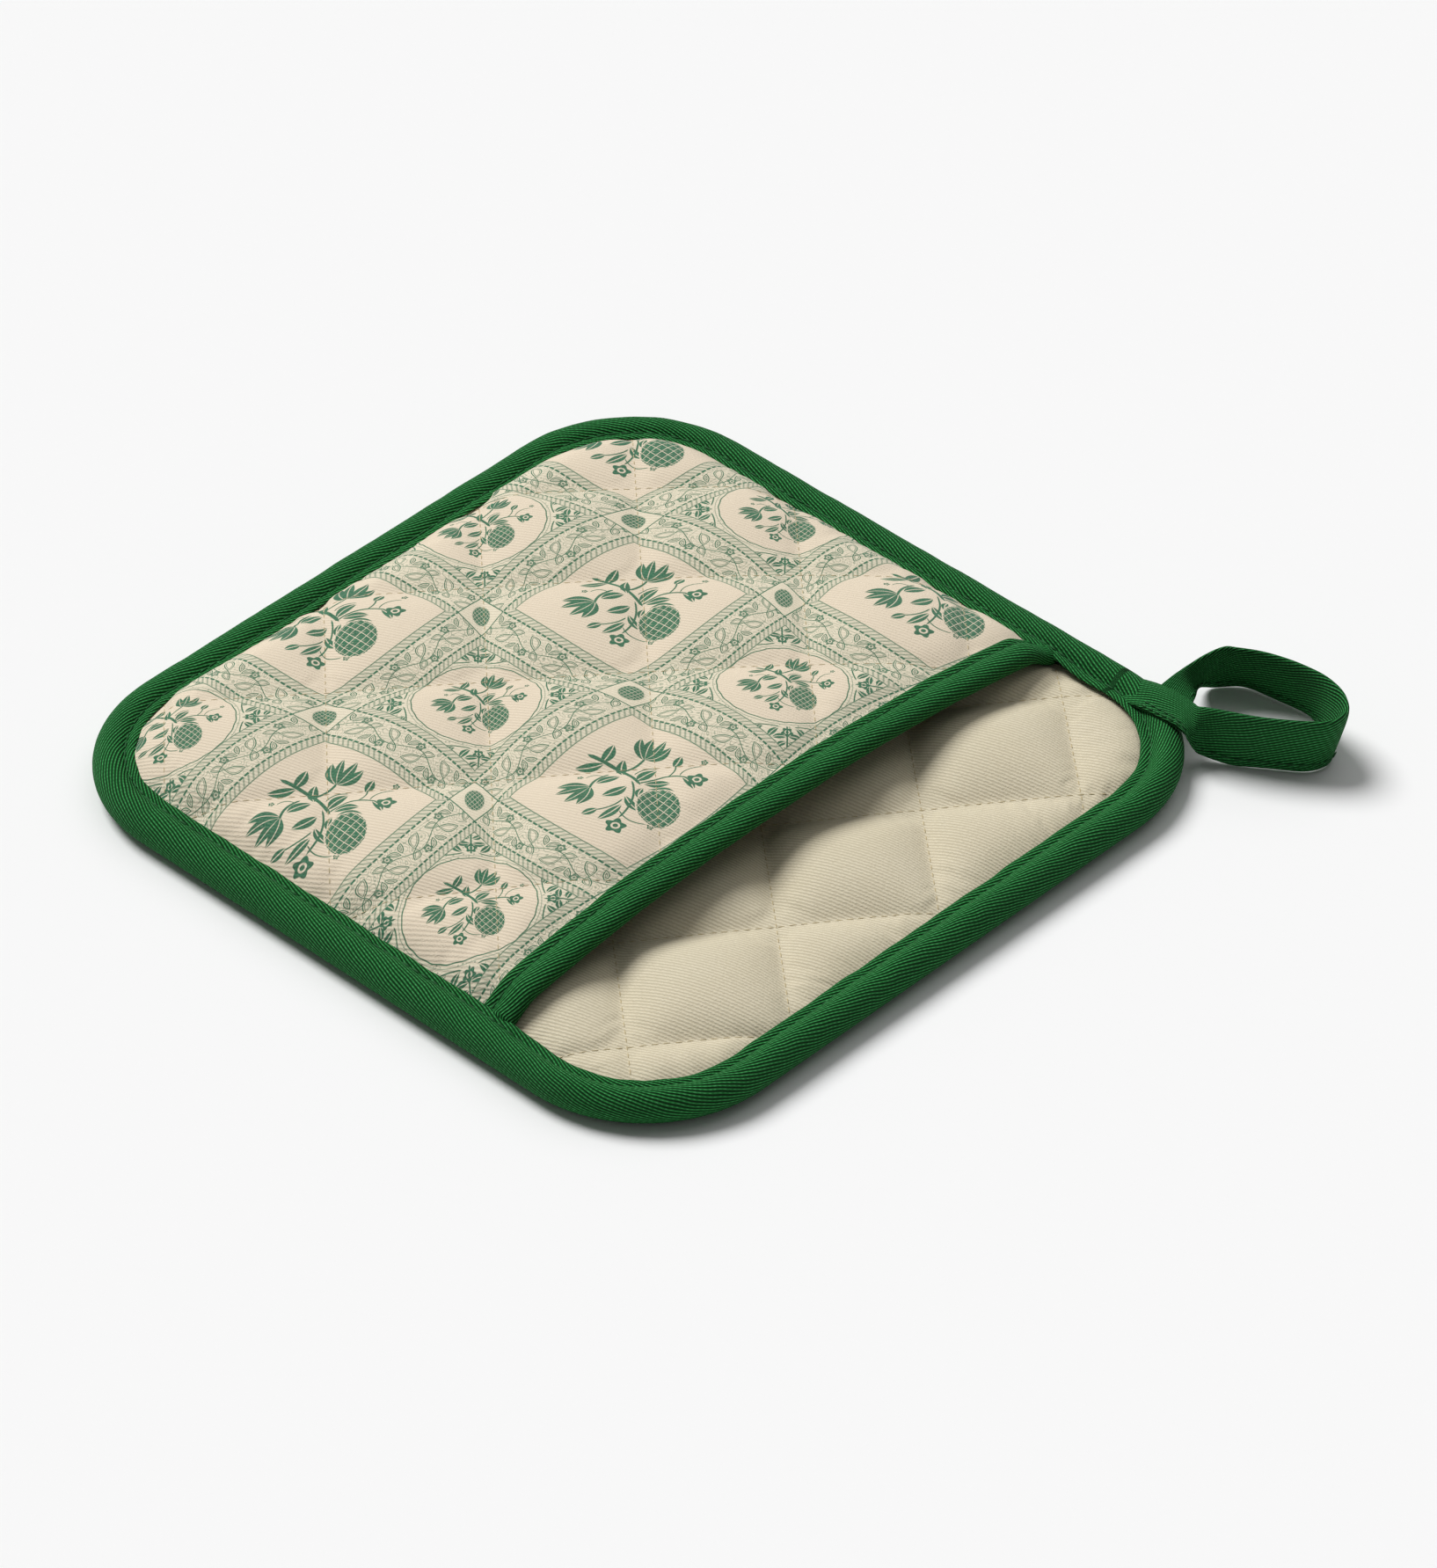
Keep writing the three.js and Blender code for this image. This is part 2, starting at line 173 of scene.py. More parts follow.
# ---- meshes ---------------------------------------------------------------------------------
def mesh_object(name, points, faces, uv=None):
    """A mesh from points in millimetres. uv gives each point's flat cloth place, in metres."""
    mesh = bpy.data.meshes.new(name)
    mesh.from_pydata((np.asarray(points) * MM).tolist(), [], faces)
    mesh.polygons.foreach_set("use_smooth", [True] * len(mesh.polygons))
    if uv is not None:
        corners = np.empty(len(mesh.loops), int)
        mesh.loops.foreach_get("vertex_index", corners)
        layer = mesh.uv_layers.new(name="cloth")
        layer.data.foreach_set("uv", (np.asarray(uv)[corners] * MM).ravel())
    mesh.update()
    obj = bpy.data.objects.new(name, mesh)
    bpy.context.scene.collection.objects.link(obj)
    return obj


def grid_faces(rows, columns, wrap=False):
    """A grid's faces. wrap joins each row's end to its start."""
    faces = []
    for j in range(rows - 1):
        for i in range(columns if wrap else columns - 1):
            k = (i + 1) % columns
            faces.append((j * columns + i, j * columns + k, (j + 1) * columns + k, (j + 1) * columns + i))
    return faces


def coordinates(obj):
    """The mesh's points in millimetres."""
    co = np.empty(len(obj.data.vertices) * 3)
    obj.data.vertices.foreach_get("co", co)
    return co.reshape(-1, 3) / MM


def set_coordinates(obj, points):
    """Moves the mesh's points to places given in millimetres."""
    obj.data.vertices.foreach_set("co", (points * MM).ravel())
    obj.data.update()


def settled(obj):
    """Applies every modifier on obj."""
    depsgraph = bpy.context.evaluated_depsgraph_get()
    mesh = bpy.data.meshes.new_from_object(obj.evaluated_get(depsgraph))
    old = obj.data
    obj.modifiers.clear()
    obj.data = mesh
    bpy.data.meshes.remove(old)
    mesh.name = obj.name
    return obj


def subdivided(obj):
    """Rounds the mesh by one level of subdivision."""
    sub = obj.modifiers.new("Subdivision", "SUBSURF")
    sub.levels = sub.render_levels = 1
    return settled(obj)


def panel_points(edge, low_y, high_y, spacing, low_round=True):
    """A cloth panel's grid, from one y to the other and across to the rounded outline at that inset."""
    rows = int(round((high_y - low_y) / spacing)) + 1
    columns = int(round(2 * (HALF - edge) / spacing)) + 1
    share = np.linspace(-1, 1, columns)
    # Rows crowd together where the outline turns in.
    bend = np.linspace(0, 1, rows)
    ends = 0.5 - 0.5 * np.cos(math.pi * bend)
    y = low_y + (high_y - low_y) * (0.7 * bend + 0.3 * (ends if low_round else np.sin(bend * math.pi / 2)))
    return np.outer(half_width(y, edge, low_round), share), np.repeat(y[:, None], columns, 1)


def snapped_to_quilting(x, y, lattice, reach=0.6):
    """Moves the grid points near a quilting line straight onto it, so that its valley runs straight."""
    to_i, to_j = lattice_distance(x, y, lattice)
    (ox, oy), a, b = lattice
    cross = a[0] * b[1] - a[1] * b[0]
    for direction, near in ((b, (to_i < reach) & (to_i <= to_j)), (a, (to_j < reach) & (to_j < to_i))):
        size = math.hypot(*direction)
        normal = (-direction[1] / size, direction[0] / size)
        gap = abs(cross) / size
        off = (x - ox) * normal[0] + (y - oy) * normal[1]
        off = np.where(near, off - np.round(off / gap) * gap, 0)
        x, y = x - off * normal[0], y - off * normal[1]
    return x, y, (to_i < reach) | (to_j < reach)


def quilted_cloth(name, x, y, height, lattice, bound, sign, spare, puff, pressure):
    """Cloth that is stitched down along the quilting lines and swells between them, by cloth simulation.

    height(x, y) is the stitched cloth's height, bound(x, y) is true where a binding holds the cloth flat,
    sign is the way that it swells, spare its extra cloth as a share, and puff how high it ends up.
    """
    border = bound(x, y)
    border[[0, -1], :] = True
    border[:, [0, -1]] = True
    sx, sy, stitched = snapped_to_quilting(x, y, lattice)
    sx, sy = np.where(border, x, sx), np.where(border, y, sy)
    z = height(sx, sy)
    rest = np.stack([sx.ravel(), sy.ravel(), z.ravel()], 1)
    faces = grid_faces(*x.shape)
    if sign < 0:
        faces = [f[::-1] for f in faces]
    obj = mesh_object(name, rest, faces, np.stack([sx.ravel(), sy.ravel()], 1))
    held = (stitched | border).ravel()
    # The simulation runs ten times larger, where the solver is steadier.
    big = 10.0
    mesh = obj.data
    set_coordinates(obj, rest * big)
    group = obj.vertex_groups.new(name="stitched")
    group.add([int(v) for v in np.nonzero(held)[0]], 1.0, "REPLACE")
    cloth = obj.modifiers.new("Cloth", "CLOTH")
    settings = cloth.settings
    settings.quality = 6
    settings.mass = 0.02
    settings.tension_stiffness = settings.compression_stiffness = 6
    settings.shear_stiffness = 2
    settings.bending_stiffness = 0.15
    settings.vertex_group_mass = "stitched"
    settings.shrink_min = settings.shrink_max = -spare
    settings.use_pressure = True
    settings.uniform_pressure_force = pressure
    settings.effector_weights.gravity = 0
    cloth.collision_settings.use_collision = False
    frames = 30
    cloth.point_cache.frame_start, cloth.point_cache.frame_end = 1, frames
    scene = bpy.context.scene
    for number in range(1, frames + 1):
        scene.frame_set(number)
    depsgraph = bpy.context.evaluated_depsgraph_get()
    moved = obj.evaluated_get(depsgraph).data
    co = np.empty(len(mesh.vertices) * 3)
    moved.vertices.foreach_get("co", co)
    shift = co.reshape(-1, 3) / MM / big - rest
    obj.modifiers.clear()
    scene.frame_set(1)
    # The sideways folds stay as they are, and the swelling is brought to the wadding's thickness.
    shift[:, 2] *= puff / np.percentile(np.abs(shift[:, 2]), 97)
    shift = np.clip(shift, -1.25 * puff, 1.25 * puff)
    set_coordinates(obj, rest + shift)
    return subdivided(obj)


def swept(name, stations, section_at, uv_at, closed):
    """A tube of tape through the stations, with its section's points and cloth places at each."""
    rings = [np.asarray(section_at(i), float) for i in range(stations)]
    count = len(rings[0])
    points = np.concatenate(rings)
    faces = grid_faces(stations, count, True)
    if closed:
        last = (stations - 1) * count
        faces += [(last + i, last + (i + 1) % count, (i + 1) % count, i) for i in range(count)]
    else:
        faces.append(tuple(range(count))[::-1])
        faces.append(tuple(range((stations - 1) * count, stations * count)))
    obj = mesh_object(name, points, faces, np.concatenate([uv_at(i) for i in range(stations)]))
    outward(obj)
    subdivided(obj)
    return dress(obj, "twill")


def outward(obj):
    """Turns a closed mesh's faces outwards."""
    mesh = obj.data
    mesh.calc_loop_triangles()
    co = coordinates(obj)
    tri = np.array([t.vertices[:] for t in mesh.loop_triangles])
    volume = np.einsum("ij,ij->i", co[tri[:, 0]], np.cross(co[tri[:, 1]], co[tri[:, 2]])).sum()
    if volume < 0:
        mesh.flip_normals()
    return obj


def surface_tree(obj):
    """The mesh's surface in millimetres, for finding heights on it."""
    co = coordinates(obj)
    return BVHTree.FromPolygons(co.tolist(), [p.vertices[:] for p in obj.data.polygons])


def dropped(tree, x, y, down):
    """Height of a surface at (x, y), met from above or from below."""
    way = -1 if down else 1
    hit = tree.ray_cast(Vector((x, y, -60 * way)), Vector((0, 0, way)))[0]
    return None if hit is None else hit.z


# ---- stitches, by Geometry Nodes ------------------------------------------------------------
def stitch_tree():
    """Lays a row of short stitches along each curve."""
    name = "Stitch rows"
    if name in bpy.data.node_groups:
        return bpy.data.node_groups[name]
    tree = bpy.data.node_groups.new(name, "GeometryNodeTree")
    for label, kind in (("Geometry", "NodeSocketGeometry"), ("Pitch", "NodeSocketFloat"),
                        ("Stitch length", "NodeSocketFloat"), ("Thread radius", "NodeSocketFloat"),
                        ("Material", "NodeSocketMaterial")):
        tree.interface.new_socket(label, in_out="INPUT", socket_type=kind)
    tree.interface.new_socket("Geometry", in_out="OUTPUT", socket_type="NodeSocketGeometry")
    start = add(tree, "NodeGroupInput")
    row = add(tree, "GeometryNodeResampleCurve", {"Curve": start.outputs["Geometry"],
                                                 "Length": start.outputs["Pitch"]}, mode="LENGTH")
    stitch = add(tree, "GeometryNodeMeshUVSphere", {"Segments": 8, "Rings": 6, "Radius": 1.0})
    half = add(tree, "ShaderNodeMath", {0: start.outputs["Stitch length"], 1: 0.5}, operation="MULTIPLY")
    size = add(tree, "ShaderNodeCombineXYZ", {0: start.outputs["Thread radius"],
                                              1: start.outputs["Thread radius"], 2: half})
    shaped = add(tree, "GeometryNodeTransform", {"Geometry": stitch.outputs["Mesh"], "Scale": size})
    along = add(tree, "GeometryNodeInputTangent")
    turn = add(tree, "FunctionNodeAlignRotationToVector", {"Vector": along}, axis="Z")
    laid = add(tree, "GeometryNodeInstanceOnPoints", {"Points": row, "Instance": shaped,
                                                      "Rotation": turn})
    real = add(tree, "GeometryNodeRealizeInstances", {"Geometry": laid})
    smoothed = add(tree, "GeometryNodeSetShadeSmooth", {"Geometry": real})
    painted = add(tree, "GeometryNodeSetMaterial", {"Geometry": smoothed,
                                                    "Material": start.outputs["Material"]})
    add(tree, "NodeGroupOutput", {"Geometry": painted})
    return tree


def stitch_rows(name, rows, thread, pitch, length, radius):
    """Stitches along each row of points, as one mesh of that thread."""
    curve = bpy.data.curves.new(name + "_rows", "CURVE")
    curve.dimensions = "3D"
    for row in rows:
        spline = curve.splines.new("POLY")
        spline.points.add(len(row) - 1)
        for point, place in zip(spline.points, row):
            point.co = (*(c * MM for c in place), 1)
    source = bpy.data.objects.new(name + "_rows", curve)
    bpy.context.scene.collection.objects.link(source)
    modifier = source.modifiers.new("Stitches", "NODES")
    tree = stitch_tree()
    modifier.node_group = tree
    values = {"Pitch": pitch * MM, "Stitch length": length * MM, "Thread radius": radius * MM,
              "Material": material(thread)}
    for item in tree.interface.items_tree:
        if item.in_out == "INPUT" and item.name in values:
            modifier[item.identifier] = values[item.name]
    depsgraph = bpy.context.evaluated_depsgraph_get()
    mesh = bpy.data.meshes.new_from_object(source.evaluated_get(depsgraph))
    mesh.name = name
    if not mesh.polygons:
        raise RuntimeError(name + ": the stitch rows gave no stitches")
    obj = bpy.data.objects.new(name, mesh)
    bpy.context.scene.collection.objects.link(obj)
    bpy.data.objects.remove(source)
    bpy.data.curves.remove(curve)
    return obj


def quilting_rows(lattice, region, surface, down=True):
    """The quilting lines inside a region, laid on a cloth's surface from above or from below."""
    (ox, oy), a, b = lattice
    rows = []
    for along, across in ((a, b), (b, a)):
        size = math.hypot(*along)
        direction = (along[0] / size, along[1] / size)
        for line in range(-8, 9):
            start = (ox + line * across[0], oy + line * across[1])
            row = []
            for s in np.arange(-260, 260, 1.2):
                x, y = start[0] + s * direction[0], start[1] + s * direction[1]
                z = dropped(surface, x, y, down) if region(x, y) else None
                if z is not None:
                    row.append((x, y, z + (0.02 if down else -0.02)))
            if len(row) > 5:
                rows.append(row)
    return rows


# ---- materials ------------------------------------------------------------------------------
def linear(code):
    """An sRGB hex value as a linear colour."""
    parts = [int(code[i:i + 2], 16) / 255 for i in (1, 3, 5)]
    return (*(c / 12.92 if c <= 0.04045 else ((c + 0.055) / 1.055) ** 2.4 for c in parts), 1.0)


def add(tree, kind, inputs=None, **settings):
    """Adds a node, with its settings, and its inputs set or linked."""
    made = tree.nodes.new(kind)
    for key, value in settings.items():
        setattr(made, key, value)
    for key, value in (inputs or {}).items():
        if isinstance(value, bpy.types.Node):
            value = value.outputs[0]
        value = value.socket if isinstance(value, Wire) else value
        if isinstance(value, bpy.types.NodeSocket):
            tree.links.new(value, made.inputs[key])
        else:
            made.inputs[key].default_value = value
    return made


class Wire:
    """A number inside a node tree. Arithmetic on it adds Math nodes."""

    def __init__(self, tree, socket):
        self.tree, self.socket = tree, socket

    def math(self, operation, *others, clamp=False):
        terms = [term.socket if isinstance(term, Wire) else term for term in (self, *others)]
        made = add(self.tree, "ShaderNodeMath", dict(enumerate(terms)), operation=operation, use_clamp=clamp)
        return Wire(self.tree, made.outputs[0])

    def __add__(self, other):
        return self.math("ADD", other)

    def __sub__(self, other):
        return self.math("SUBTRACT", other)

    def __rsub__(self, other):
        return self.math("MULTIPLY_ADD", -1.0, other)

    def __mul__(self, other):
        return self.math("MULTIPLY", other)

    def __truediv__(self, other):
        return self.math("DIVIDE", other)

    def __lt__(self, other):
        return self.math("LESS_THAN", other)

    def __gt__(self, other):
        return self.math("GREATER_THAN", other)

    def __abs__(self):
        return self.math("ABSOLUTE")

    __radd__, __rmul__ = __add__, __mul__


def least(first, *others):
    """The smallest of some values, the first of which is a Wire."""
    for other in others:
        first = first.math("MINIMUM", other)
    return first


def most(first, *others):
    """The largest of some values, the first of which is a Wire."""
    for other in others:
        first = first.math("MAXIMUM", other)
    return first


def inked(depth, edge=0.12):
    """One inside a shape and nothing outside it, from its depth in millimetres, over a soft edge."""
    return (depth / edge + 0.5).math("MULTIPLY", 1.0, clamp=True)


def line(distance, width):
    """A line of that width along zero distance."""
    return inked(width / 2 - abs(distance))


def choose(share, first, second):
    """The first value where share is nothing and the second where it is one."""
    return first + (second - first) * share


def new_material(name, values):
    """A material, its node tree and its shader, with the shader's even values set."""
    made = bpy.data.materials.new(name)
    made.use_nodes = True
    tree = made.node_tree
    tree.nodes.clear()
    shader = add(tree, "ShaderNodeBsdfPrincipled", values)
    add(tree, "ShaderNodeOutputMaterial", {"Surface": shader})
    return made, tree, shader


def finish_look(tree, shader, colour, height, strength, distance):
    """Links a material's colour, and its relief as a bump."""
    tree.links.new(colour, shader.inputs["Base Color"])
    bump = add(tree, "ShaderNodeBump", {"Strength": strength, "Distance": distance, "Height": height})
    tree.links.new(bump.outputs[0], shader.inputs["Normal"])


def cloth_place(tree):
    """The piece's flat cloth coordinates in millimetres, as a vector and as its two parts."""
    place = add(tree, "ShaderNodeUVMap", uv_map="cloth")
    scaled = add(tree, "ShaderNodeVectorMath", {0: place, "Scale": 1 / MM}, operation="SCALE")
    parts = add(tree, "ShaderNodeSeparateXYZ", {0: scaled})
    return scaled.outputs[0], Wire(tree, parts.outputs[0]), Wire(tree, parts.outputs[1])


def noise(tree, place, scale, detail=3.0):
    """Soft noise between nothing and one."""
    made = add(tree, "ShaderNodeTexNoise", {"Vector": place, "Scale": scale, "Detail": detail})
    return Wire(tree, made.outputs[0])


def wave(wire, pitch):
    """A wave between nothing and one, at that pitch in millimetres."""
    return (wire * (2 * math.pi / pitch)).math("SINE") * 0.5 + 0.5


def mix(tree, share, first, second):
    """A colour between two, nearer to the second as the share grows."""
    return add(tree, "ShaderNodeMix", {0: share, 6: first, 7: second}, data_type="RGBA").outputs[2]


WOVEN = {"Roughness": 0.92, "Sheen Weight": 0.1, "Sheen Roughness": 0.6, "Specular IOR Level": 0.2}


def cream_cotton():
    """Unbleached cotton twill calico: a dull, slightly slubby cream cloth that scatters light softly."""
    cloth, tree, shader = new_material("unbleached_cotton_calico", WOVEN)
    colours = bpy.context.scene.pot_holder_colours
    place, x, y = cloth_place(tree)
    cloud, slub = noise(tree, place, 0.05, 4), noise(tree, place, 1.6)
    tone = mix(tree, cloud, colours.lining, colours.lining_pale)
    fine = mix(tree, slub, linear("#ccc0a2"), linear("#f1e9d4"))
    # Twill ribs 0.9 mm apart, coarser than the cloth's own, so that they show.
    rib = wave(x * 0.94 + y * 0.34 + slub * 0.5, 0.9)
    colour = mix(tree, rib * (slub * 0.7 + 0.1), mix(tree, 0.3, tone, fine), linear("#a89b7c"))
    finish_look(tree, shader, colour, slub - rib * 0.7, 0.7, 0.00016)
    return cloth


def green_twill():
    """Bias-cut cotton twill tape, folded and pressed: fine slanting ribs, with painted shade deepening the
    dark lines between them and a painted highlight on their paler crests.
    """
    tape, tree, shader = new_material("green_cotton_twill_tape",
                                      {"Roughness": 0.8, "Specular IOR Level": 0.15})
    colours = bpy.context.scene.pot_holder_colours
    place, x, y = cloth_place(tree)
    wander, slub = noise(tree, place, 0.06, 2), noise(tree, place, 1.2)
    # Ribs 0.75 mm apart, at a small angle to the tape's length.
    rib = wave(y * 0.95 + x * 0.3 + wander * 2, 0.75)
    floats = wave(x * 0.95 - y * 0.3 + rib * 0.4, 1.2)
    # The tape's ground goes paler in large, soft noise patches.
    ground = mix(tree, wander, colours.tape, colours.tape_pale)
    # Painted shade: the lines between the ribs go nearly black. They are the twill's own dark lines, deepened
    # by shade painted into the grooves.
    dark = mix(tree, slub, linear("#011505"), linear("#03280c"))
    # Painted highlight: the rib crests go paler, partly from the twill's paler floats and partly from light
    # painted onto the crests.
    pale = mix(tree, slub, linear("#2f9a4a"), linear("#66c07c"))
    float_and_highlight_share = most(rib - 0.55, 0.0) * 1.9 * (floats * 0.6 + 0.4) * (slub + 0.4)
    line_and_shade_share = least(most(0.5 - rib, 0.0) * 2.3, 0.9)
    colour = mix(tree, line_and_shade_share, mix(tree, float_and_highlight_share, ground, pale), dark)
    finish_look(tree, shader, colour, rib * 0.8 + floats * 0.2 + slub * 0.4, 1.0, 0.0003)
    return tape


def spun_thread(name, dark, light):
    """Spun polyester sewing thread: twisted plies that catch a little light."""
    thread, tree, shader = new_material(name, {"Roughness": 0.65, "Specular IOR Level": 0.3})
    place = add(tree, "ShaderNodeTexCoord")
    twist = add(tree, "ShaderNodeTexNoise", {"Vector": place.outputs["Object"], "Scale": 1500.0})
    tree.links.new(mix(tree, twist.outputs[0], linear(dark), linear(light)), shader.inputs["Base Color"])
    return thread


def cotton_wadding():
    """Carded cotton wadding: a white, matt mat of loose fibres."""
    wadding, tree, shader = new_material("carded_cotton_wadding", {"Roughness": 1.0})
    place = add(tree, "ShaderNodeTexCoord")
    fibres = add(tree, "ShaderNodeTexNoise", {"Vector": place.outputs["Object"], "Scale": 400.0,
                                              "Detail": 6, "Distortion": 2.0})
    colour = mix(tree, fibres.outputs[0], linear("#ded8c8"), linear("#faf7ee"))
    finish_look(tree, shader, colour, fibres, 0.8, 0.0006)
    return wadding


def studio_floor():
    """A seamless sheet of pale matt background paper."""
    return new_material("pale_background_paper", {"Base Color": linear("#f8f8f8"), "Roughness": 0.95,
                                                  "Specular IOR Level": 0.0})[0]


# The print's trellis: a crossing of its bands, the steps to the next, and how far the bands bow.
TRELLIS_CROSSING, TRELLIS_STEP, TRELLIS_BOW = (3.0, 5.5), (51.0, 48.5), 0.052
# Half the width of a band inside its borders and with them, and a medallion's radius.
BAND, BORDER, MEDALLION = 4.6, 6.9, 15.2


def leaf_tree():
    """How deep a point lies inside a pointed, bent leaf or stem, in millimetres."""
    tree = bpy.data.node_groups.new("Leaf", "ShaderNodeTree")
    for label, kind in (("Place", "Vector"), ("Middle", "Vector"), ("Turn", "Vector"), ("Reach", "Vector"),
                        ("Half width", "Float"), ("Bend", "Float"), ("Fullness", "Float"), ("Vein", "Float")):
        tree.interface.new_socket(label, in_out="INPUT", socket_type="NodeSocket" + kind)
    tree.interface.new_socket("Depth", in_out="OUTPUT", socket_type="NodeSocketFloat")
    start = add(tree, "NodeGroupInput")
    given = {name: Wire(tree, start.outputs[name]) for name in ("Half width", "Bend", "Fullness", "Vein")}
    place = add(tree, "ShaderNodeMapping", {"Vector": start.outputs["Place"],
                                            "Location": start.outputs["Middle"],
                                            "Rotation": start.outputs["Turn"],
                                            "Scale": start.outputs["Reach"]}, vector_type="TEXTURE")
    parts = add(tree, "ShaderNodeSeparateXYZ", {0: place})
    x, y = Wire(tree, parts.outputs[0]), Wire(tree, parts.outputs[1])
    rest = 1 - x * x
    aside = abs(y - given["Bend"] * rest)
    depth = least(rest, given["Fullness"]) / given["Fullness"] * given["Half width"] - aside
    add(tree, "NodeGroupOutput", {"Depth": least(depth, aside - given["Vein"])})
    return tree


def strokes(tree, group, place, leaves):
    """The depth inside the nearest of many leaves, each (from, to, half width, bend, fullness, vein)."""
    deepest = None
    for (x0, y0), (x1, y1), width, bend, fullness, vein in leaves:
        reach = math.hypot(x1 - x0, y1 - y0) / 2
        made = add(tree, "ShaderNodeGroup", node_tree=group)
        tree.links.new(place, made.inputs["Place"])
        for name, value in (("Middle", ((x0 + x1) / 2, (y0 + y1) / 2, 0)),
                            ("Turn", (0, 0, math.atan2(y1 - y0, x1 - x0))), ("Reach", (reach, 1, 1)),
                            ("Half width", width), ("Bend", bend), ("Fullness", fullness), ("Vein", vein)):
            made.inputs[name].default_value = value
        depth = Wire(tree, made.outputs[0])
        deepest = depth if deepest is None else most(deepest, depth)
    return deepest


def stem(start, end, width=0.28, bend=0.0):
    """A stem's stroke: nearly even in width, with no vein."""
    return start, end, width, bend, 0.25, -9.0


def leaf(start, end, width=1.3, bend=0.0, vein=0.13):
    """A leaf's stroke: pointed at both ends, with a pale vein."""
    return start, end, width, bend, 1.0, vein


def tulip(base, angle, size):
    """A tulip's petals, opening from its base."""
    petals = []
    for turn, reach, wide, bend in ((-34, 0.92, 0.17, -0.1), (-13, 1.0, 0.15, -0.04),
                                    (13, 1.0, 0.15, 0.04), (34, 0.92, 0.17, 0.1)):
        a = math.radians(angle + turn)
        tip = (base[0] + size * reach * math.cos(a), base[1] + size * reach * math.sin(a))
        petals.append(leaf(base, tip, size * wide, size * bend, 0.1))
    return petals


# The sprig in a panel, its small flowers (place and radius) and its ripe cone (place and half its size).
SPRIG = [
    stem((-9.5, 12.5), (2.5, 0.5), 0.5, 1.3),
    stem((-3.0, 6.0), (3.6, 11.0), 0.33, -0.9), *tulip((3.4, 10.6), 62, 8.2),
    stem((-4.5, 5.5), (-8.8, -1.0), 0.33, -0.9), *tulip((-8.6, -0.4), 212, 8.2),
    stem((2.0, 1.0), (13.6, 2.4), 0.26, 1.9), stem((0.5, 2.0), (-2.6, -12.2), 0.26, 1.6),
    stem((9.0, 3.6), (10.6, 8.2), 0.2, -0.6), stem((-1.6, -5.5), (-7.6, -9.4), 0.2, 0.8),
    stem((11.6, 3.4), (16.8, 7.4), 0.17, 1.3), stem((-2.4, -9.5), (3.6, -13.6), 0.17, -1.4),
    stem((-9.8, 4.2), (-5.6, 4.4), 0.17, 1.2), stem((6.4, 7.2), (1.2, 5.0), 0.17, -1.0),
    leaf((-5.6, 9.6), (-12.4, 8.4), 1.35, 0.5), leaf((-6.4, 9.6), (-3.6, 15.2), 1.35, -0.4),
    leaf((-1.4, 4.6), (-1.2, 10.6), 1.3, 0.5), leaf((-2.0, 4.0), (-7.4, 1.0), 1.4, -0.4),
    leaf((1.6, 2.0), (6.4, 6.6), 1.4, 0.6), leaf((3.2, 1.2), (9.6, 0.8), 1.2, 0.5),
    leaf((-0.6, -0.4), (-6.2, -4.4), 1.4, 0.5), leaf((-1.0, -4.2), (2.2, -9.6), 1.1, -0.5),
    leaf((-1.8, -7.4), (-7.2, -12.6), 1.1, 0.4), leaf((12.2, 2.8), (14.8, -1.8), 0.9, 0.4),
    leaf((10.2, 7.4), (12.2, 11.0), 1.1, 0.0), leaf((-7.0, -9.0), (-10.6, -10.8), 1.0, 0.0),
    leaf((3.0, -0.6), (2.0, -5.0), 0.9, -0.5), leaf((4.0, -0.8), (10.6, -2.2), 1.0, 0.6),
]
ROSETTES = ((15.4, 1.6, 2.5), (-3.2, -14.6, 2.5), (17.2, 8.8, 0.9), (4.6, -14.2, 0.9),
            (-11.0, 4.6, 0.8))
CONE = (6.6, -7.4, 5.0, 6.4)

# A vine for the bands, in one of its repeats: across the band, and along it.
VINE_STEP = 8.3
VINE = [leaf((0.2, -1.2), (-2.9, 2.4), 1.15, 0.5, -9.0), leaf((0.4, -1.0), (2.6, -3.6), 0.9, 0.4, -9.0),
        leaf((-1.2, -3.9), (-3.5, -2.2), 0.6, 0.2, -9.0), leaf((1.0, 3.8), (3.3, 1.6), 0.65, 0.3, -9.0)]
# A spray for the corners outside a medallion: along the corner's diagonal, and to its side.
SPRAY = [stem((16.4, 0), (23.8, 0), 0.2), leaf((19.8, 0.2), (20.2, 3.4), 0.8, 0.3, 0.1),
         leaf((21.4, 0.2), (23.0, 2.4), 0.7, 0.3, 0.1), leaf((17.0, 2.0), (20.0, 4.4), 0.8, 0.3, 0.1),
         leaf((16.4, 5.4), (18.6, 7.8), 0.7, 0.3, 0.1), stem((16.8, 1.6), (16.4, 9.6), 0.16, 0.5),
         leaf((16.3, 8.6), (17.4, 11.0), 0.6, 0.2, 0.1)]


def rosette(x, y, at_x, at_y, radius):
    """A flower with five round petals, split by a pale ring round its heart."""
    dx, dy = x - at_x, y - at_y
    reach = (dx * dx + dy * dy).math("SQRT")
    petals = (dy.math("ARCTAN2", dx) * 5.0).math("COSINE") * (0.16 * radius) + 0.84 * radius
    return most(least(petals - reach, reach - 0.42 * radius), 0.24 * radius - reach)


